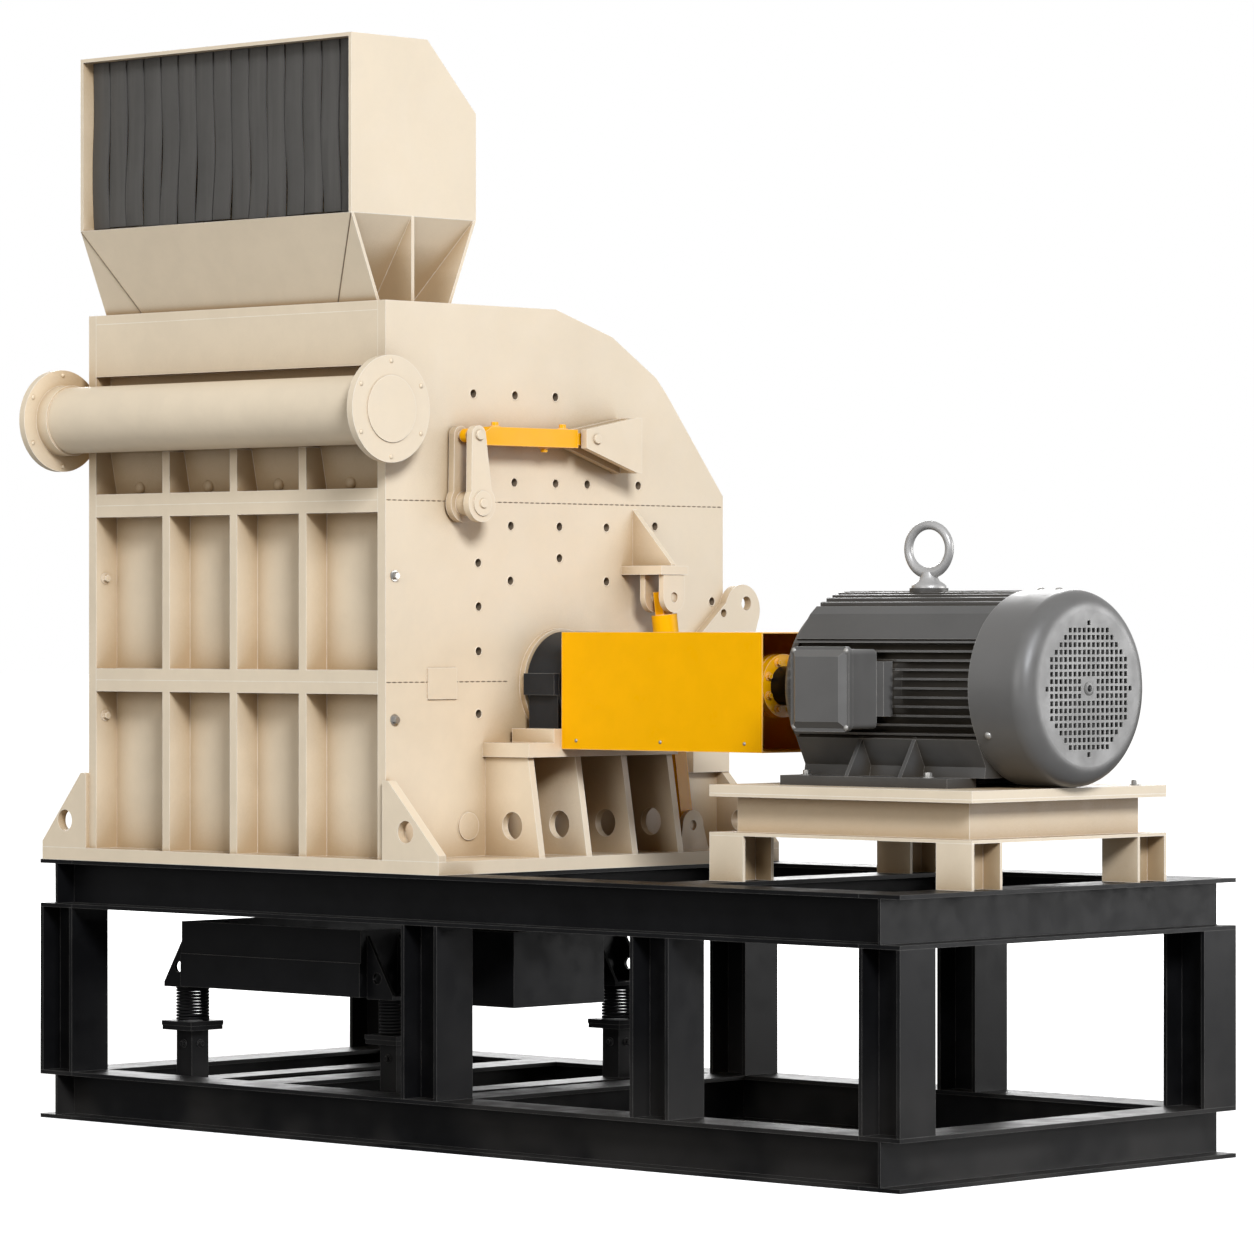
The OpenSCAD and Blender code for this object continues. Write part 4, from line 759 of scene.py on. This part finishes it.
class CRUSHER_OT_gear_bolts(bpy.types.Operator):
    """Adds the bolts of the link bars and the pin heads of the links"""

    bl_idname = "crusher.gear_bolts"
    bl_label = "Link bolts and pins"

    # Each place is a y from the rotor's plane and a z from the floor, in millimetres; the bolts
    # have only a y
    FOOT_PIN = (-467, 2047)
    END_PINS = ((-481, 2265), (62, 2265))
    TOP_BOLTS = (-356, -44)
    UNDER_BOLT = -130

    def execute(self, context):
        self.bar_bolts(context.scene.crusher_bolts.medium)
        self.pin_heads()
        return {"FINISHED"}

    def bar_bolts(self, flats):
        """Two bolts on each link bar and one under it."""
        head = hex_bolt(flats)
        low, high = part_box("link_bars")
        bar_off = 0.063
        forms = []
        for x, _ in mirrored(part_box("side_wall_right")[1].x - BOSS_THICK + bar_off):
            tops = [wall_point(x, y, high.z / MM) for y in self.TOP_BOLTS]
            forms.append(copies(head, tops, (0, 0, 1)))
            forms.append(copies(head, [wall_point(x, self.UNDER_BOLT, low.z / MM)], (0, 0, -1)))
        piece("link_bar_bolts", joined(forms), MATERIALS["yellow_paint"])

    def pin_heads(self):
        """Flat heads on the pins; those at the bar's ends are sunk a little."""
        pin = lathe([(0.016, 0), (0.016, 0.003), (0.014, 0.006), (0.004, 0.006)], 24)
        sunk = 0.001
        arm_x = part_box("link_arms")[1].x
        forms = [copies(pin, [wall_point(x, *self.FOOT_PIN)], (side, 0, 0))
                 for x, side in mirrored(arm_x)]
        forms += [copies(pin, [wall_point(x, y, z) for y, z in self.END_PINS], (side, 0, 0))
                  for x, side in mirrored(arm_x - sunk)]
        piece("pin_heads", joined(forms), MATERIALS["cream_paint"])


class CRUSHER_OT_drive_bolts(bpy.types.Operator):
    """Adds the bolts of the coupling and guard"""

    bl_idname = "crusher.drive_bolts"
    bl_label = "Drive bolts"

    def execute(self, context):
        bolts = context.scene.crusher_bolts
        self.coupling(bolts.small)
        self.guard(bolts.medium)
        return {"FINISHED"}

    def coupling(self, flats):
        """A ring of bolts on both faces of the coupling's flange."""
        head = hex_bolt(flats)
        circle = 0.079
        flange = 0.047
        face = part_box("coupling")[1].x
        angles = (np.arange(8) + 0.5) / 8 * TAU
        forms = [copies(head, flange_ring(x, circle, angles), (facing, 0, 0))
                 for x, facing in ((face, 1), (face - flange, -1))]
        piece("coupling_bolts", joined(forms), MATERIALS["yellow_paint"],
              "drive_line")

    def guard(self, flats):
        """Screws along the guard's lower edges, and two nuts inside its open end."""
        low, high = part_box("coupling_guard")
        screw = round_head(0.012)
        screw_z = low.z + 0.028
        xs = (low.x + 0.065, (low.x + high.x) / 2, high.x - 0.075)
        forms = [copies(screw, [(x, y, screw_z) for x in xs], (0, facing, 0))
                 for y, facing in ((low.y, -1), (high.y, 1))]
        piece("guard_screws", joined(forms), MATERIALS["plated"])
        nut_y = high.y - 0.004
        spots = [(high.x - 0.1, nut_y, low.z + 0.083), (high.x - 0.03, nut_y, high.z - 0.07)]
        piece("guard_nuts", copies(hex_bolt(flats), spots, (0, -1, 0)), MATERIALS["yellow_paint"])


class CRUSHER_OT_motor_bolts(bpy.types.Operator):
    """Adds the motor's screws, its cooling fan and the bolts of its feet and base"""

    bl_idname = "crusher.motor_bolts"
    bl_label = "Motor bolts"

    # Where the cowl's screws sit, in degrees up from the front, and how far in from its edge
    COWL_SCREWS = ((-28, (0.05,)), (92, (0.03, 0.1)), (208, (0.05,)))

    def execute(self, context):
        self.box_screws()
        self.cowl()
        self.feet(context.scene.crusher_bolts.medium)
        return {"FINISHED"}

    def box_screws(self):
        """A screw at each corner of the terminal box's lid."""
        low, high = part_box("terminal_box")
        lid_back = low.y + 0.016
        lid_wide = 0.236
        inset = 0.013
        spots = [(x, lid_back, z) for x in (low.x + inset, low.x + lid_wide - inset)
                 for z in (low.z + inset, high.z - inset)]
        piece("terminal_box_screws", copies(round_head(0.018), spots, (0, -1, 0)),
              MATERIALS["plated"])

    def cowl(self):
        """The cowl's screws, the washer and stud at its grille's middle, and the fan behind it."""
        low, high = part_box("fan_cowl")
        radius = (high.z - low.z) / 2
        screw = round_head(0.024)
        forms = []
        for degrees, insets in self.COWL_SCREWS:
            a = math.radians(degrees)
            out = (0, -math.cos(a), math.sin(a))
            spots = [(low.x + inset, ROTOR_Y + radius * out[1], ROTOR_Z + radius * out[2])
                     for inset in insets]
            forms.append(copies(screw, spots, out))
        piece("cowl_screws", joined(forms), MATERIALS["plated"])
        hub = (high.x, ROTOR_Y, ROTOR_Z)
        washer = lathe([(0.021, -0.002), (0.021, 0.002), (0.018, 0.0035), (0.011, 0.0035),
                        (0.009, 0.0)], 28)
        piece("cowl_washer", copies(washer, [hub], (1, 0, 0)), MATERIALS["cowl_grey"])
        piece("cowl_stud", copies(round_head(0.017), [hub], (1, 0, 0)), MATERIALS["hub_black"])
        piece("cooling_fan", self.fan(high.x - 0.062, radius * 0.76), MATERIALS["hub_black"],
              "drive_line")

    def feet(self, flats):
        """Bolts on the motor's feet and at two corners of its base plate."""
        head = hex_bolt(flats)
        low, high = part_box("motor_base_plate")
        frame_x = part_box("motor_frame")[0].x
        foot_z = high.z + 0.030
        foot_off = 0.285
        feet = [(x, ROTOR_Y + side * foot_off, foot_z)
                for x in (frame_x + 0.07, frame_x + 0.56) for side in (-1, 1)]
        corners = [(high.x - 0.05, high.y - 0.09, high.z), (low.x + 0.06, low.y + 0.9, high.z)]
        forms = [copies(head, feet, (0, 0, 1)), copies(head, corners, (0, 0, 1))]
        piece("motor_bolts", joined(forms), MATERIALS["plated"])

    def fan(self, x, reach):
        """A disc fan about the rotor's line. Its back is flat and its front rises with the square
        of sin(3.5 a + 9 r), which peaks seven times in a turn: seven blades, swept back by the
        term in r and thicker further out."""
        sides = 112
        hub_radius = 0.02
        disc = 0.006
        blade = 0.03
        r = np.linspace(hub_radius, reach, 9)[:, None]
        a = np.arange(sides)[None] / sides * TAU
        rise = disc + blade * (r / reach) * np.sin(3.5 * a + 9 * r) ** 2
        front = np.stack([x + rise, ROTOR_Y - r * np.sin(a), ROTOR_Z + r * np.cos(a)], -1)
        back = front.copy()
        back[..., 0] = x
        rows = np.concatenate([front, back[::-1]], 0)
        first = np.arange(sides)[::-1][None]
        last = (np.arange(sides) + (len(rows) - 1) * sides)[None]
        return rows.reshape(-1, 3), [quads(len(rows), sides, True)[:, ::-1], first, last]


class CRUSHER_OT_lifting_eye(bpy.types.Operator):
    """Makes the motor's forged eye bolt"""

    bl_idname = "crusher.lifting_eye"
    bl_label = "Lifting eye"

    COLLAR = ((0.054, 0), (0.054, 0.007), (0.048, 0.013), (0.034, 0.022), (0.027, 0.034),
              (0.022, 0.050))

    def execute(self, context):
        low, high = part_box("eye_bolt")
        middle = (low + high) / 2
        outer = 0.088
        wire = 0.014
        turn = math.radians(8.5)
        along = np.array([math.cos(turn), math.sin(turn), 0])
        third = np.array([math.sin(turn), -math.cos(turn), 0])
        ring = self.ring(outer, wire, along, third)
        ring += np.array([middle.x, middle.y, high.z - outer])
        form = joined([(ring.reshape(-1, 3), [quads(17, 60, True)]),
                       copies(lathe(self.COLLAR, 32), [(middle.x, middle.y, low.z)], (0, 0, 1))])
        made = piece("lifting_eye", form, MATERIALS["forged"], sharp=60)
        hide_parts("eye_bolt")
        return {"FINISHED"}

    def ring(self, outer, wire, along, third):
        """A torus stood on edge: the wire's radius grows by a third towards the foot, as the cube
        of how far down the ring a point lies."""
        a = np.arange(60) / 60 * TAU
        b = np.arange(17) / 16 * TAU
        thick = wire * (1 + 0.33 * np.clip(-np.sin(a), 0, 1) ** 3)
        r = outer - wire + thick[None] * np.cos(b)[:, None]
        across = thick[None] * np.sin(b)[:, None]
        return (r * np.cos(a))[..., None] * along + across[..., None] * third \
            + (r * np.sin(a))[..., None] * np.array([0, 0, 1.0])


class CRUSHER_OT_skid_bolts(bpy.types.Operator):
    """Adds the bolts of the spring posts"""

    bl_idname = "crusher.skid_bolts"
    bl_label = "Skid bolts"

    def execute(self, context):
        head = hex_bolt(context.scene.crusher_bolts.small)
        low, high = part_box("spring_posts")
        half = 0.0375
        seat = 0.073
        z = low.z + 0.12
        forms = []
        for x in (low.x + seat, high.x - seat):
            for y in (low.y + seat, high.y - seat):
                forms.append(copies(head, [(x, y - half, z)], (0, -1, 0)))
                forms.append(copies(head, [(x + half, y, z)], (1, 0, 0)))
        piece("post_bolts", joined(forms), MATERIALS["black_paint"])
        return {"FINISHED"}


class CRUSHER_OT_stage(bpy.types.Operator):
    """Sets up the floor, the lamps and the camera"""

    bl_idname = "crusher.stage"
    bl_label = "Stage"

    CAMERA_AT = (12.792, -13.4215, 1.6512)
    TARGET = (0.0, 0.0, 1.5)

    def execute(self, context):
        stage = context.scene.crusher_stage
        self.floor(stage.glow)
        self.world(stage.fill)
        key = self.lamp("Key", (18.0, -10.8, 13.0), 6.0, stage.key)
        key.data.color = (0.97, 1.0, 1.06)
        self.lamp("Front", (3.0, -22.0, 7.0), 12.0, stage.front)
        self.lamp("Rear", (-13.0, 13.0, 9.0), 8.0, stage.rear)
        card = self.lamp("Card", (10.0, 10.0, 2.5), 8.0, stage.card)
        card.visible_diffuse = False
        data = bpy.data.cameras.new("Camera")
        data.lens = stage.lens
        data.sensor_width = 36
        data.clip_end = 200
        camera = bpy.data.objects.new("Camera", data)
        context.scene.collection.objects.link(camera)
        x, y, z = self.CAMERA_AT
        camera.location = (x + ORIGIN_X, y + ORIGIN_Y, z)
        camera.rotation_euler = (math.radians(90), 0, stage.turn)
        context.scene.camera = camera
        context.scene.view_settings.view_transform = "Standard"
        return {"FINISHED"}

    def floor(self, glow):
        """A flat pale floor far wider than the machine, so that no edge of it shows. The camera
        sees it lifted towards white; other rays see a duller one."""
        size = 400.0
        corners = [(-size, -size, 0), (size, -size, 0), (size, size, 0), (-size, size, 0)]
        mesh = bpy.data.meshes.new("floor")
        mesh.from_pydata(corners, [], [(0, 1, 2, 3)])
        floor = bpy.data.objects.new("floor", mesh)
        bpy.context.scene.collection.objects.link(floor)
        material, g, out = new_material("Pale floor")
        place = g.add("ShaderNodeTexCoord").outputs["Object"]
        tone = g.ramp(g.noise(place, 0.8, 2.0), 0.3, 0.7, 0.84, 0.86)
        shade = g.add("ShaderNodeCombineColor", i0=tone, i1=tone, i2=tone).outputs[0]
        far = g.add("ShaderNodeVectorMath", {"operation": "LENGTH"}, i0=place).outputs["Value"]
        diffuse = g.add("ShaderNodeBsdfDiffuse", Color=shade)
        bounce = g.add("ShaderNodeBsdfDiffuse", Color=(0.4, 0.4, 0.4, 1))
        lift = g.add("ShaderNodeEmission", Color=(1, 1, 1, 1),
                     Strength=g.ramp(far, 2.5, 8.0, glow, 1.0))
        seen = g.add("ShaderNodeLightPath").outputs["Is Camera Ray"]
        added = g.add("ShaderNodeAddShader", i0=diffuse.outputs[0], i1=lift.outputs[0])
        mixed = g.add("ShaderNodeMixShader", i0=seen, i1=bounce.outputs[0], i2=added.outputs[0])
        g.tree.links.new(mixed.outputs[0], out.inputs["Surface"])
        mesh.materials.append(material)

    def world(self, strength):
        """Soft light from all round; the camera, mirrors and glass see it white."""
        world = bpy.data.worlds.new("Studio")
        bpy.context.scene.world = world
        world.use_nodes = True
        world.node_tree.nodes.clear()
        g = Graph(world.node_tree)
        path = g.add("ShaderNodeLightPath").outputs
        seen = g.maths("MAXIMUM", path["Is Camera Ray"],
                       g.maths("MAXIMUM", path["Is Glossy Ray"], path["Is Transmission Ray"]))
        light = g.add("ShaderNodeBackground", Color=(1.0, 0.92, 0.80, 1), Strength=strength)
        white = g.add("ShaderNodeBackground", Color=(1, 1, 1, 1), Strength=1.0)
        mixed = g.add("ShaderNodeMixShader", i0=seen, i1=light.outputs[0], i2=white.outputs[0])
        out = g.add("ShaderNodeOutputWorld")
        g.tree.links.new(mixed.outputs[0], out.inputs["Surface"])

    def lamp(self, name, place, size, power):
        """A square soft lamp at a place, turned to the target."""
        data = bpy.data.lights.new(name, "AREA")
        data.size = size
        data.energy = power
        lamp = bpy.data.objects.new(name, data)
        bpy.context.scene.collection.objects.link(lamp)
        lamp.location = place
        lamp.rotation_euler = Matrix(turned(np.subtract(place, self.TARGET)).tolist()).to_euler()
        return lamp


class CRUSHER_PT_panel(bpy.types.Panel):
    """Lists the steps in the sidebar"""

    bl_label = "Metal crusher"
    bl_idname = "CRUSHER_PT_panel"
    bl_space_type = "VIEW_3D"
    bl_region_type = "UI"
    bl_category = "Crusher"

    def draw(self, context):
        for operator in OPERATORS:
            self.layout.operator(operator.bl_idname)


GROUPS = {
    "crusher_paint": CrusherPaint,
    "crusher_springs": CrusherSprings,
    "crusher_curtain": CrusherCurtain,
    "crusher_bolts": CrusherBolts,
    "crusher_stage": CrusherStage,
}
OPERATORS = (
    CRUSHER_OT_paint,
    CRUSHER_OT_springs,
    CRUSHER_OT_curtain,
    CRUSHER_OT_housing_trim,
    CRUSHER_OT_tube_bolts,
    CRUSHER_OT_gear_bolts,
    CRUSHER_OT_drive_bolts,
    CRUSHER_OT_motor_bolts,
    CRUSHER_OT_lifting_eye,
    CRUSHER_OT_skid_bolts,
    CRUSHER_OT_stage,
)


def register():
    for name, group in GROUPS.items():
        bpy.utils.register_class(group)
        setattr(bpy.types.Scene, name, PointerProperty(type=group))
    for operator in OPERATORS:
        bpy.utils.register_class(operator)
    bpy.utils.register_class(CRUSHER_PT_panel)


def unregister():
    bpy.utils.unregister_class(CRUSHER_PT_panel)
    for operator in reversed(OPERATORS):
        bpy.utils.unregister_class(operator)
    for name, group in reversed(GROUPS.items()):
        delattr(bpy.types.Scene, name)
        bpy.utils.unregister_class(group)


def main():
    """Makes every piece."""
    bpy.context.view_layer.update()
    register()
    for operator in OPERATORS:
        space, name = operator.bl_idname.split(".")
        getattr(getattr(bpy.ops, space), name)()


if __name__ == "__main__":
    main()
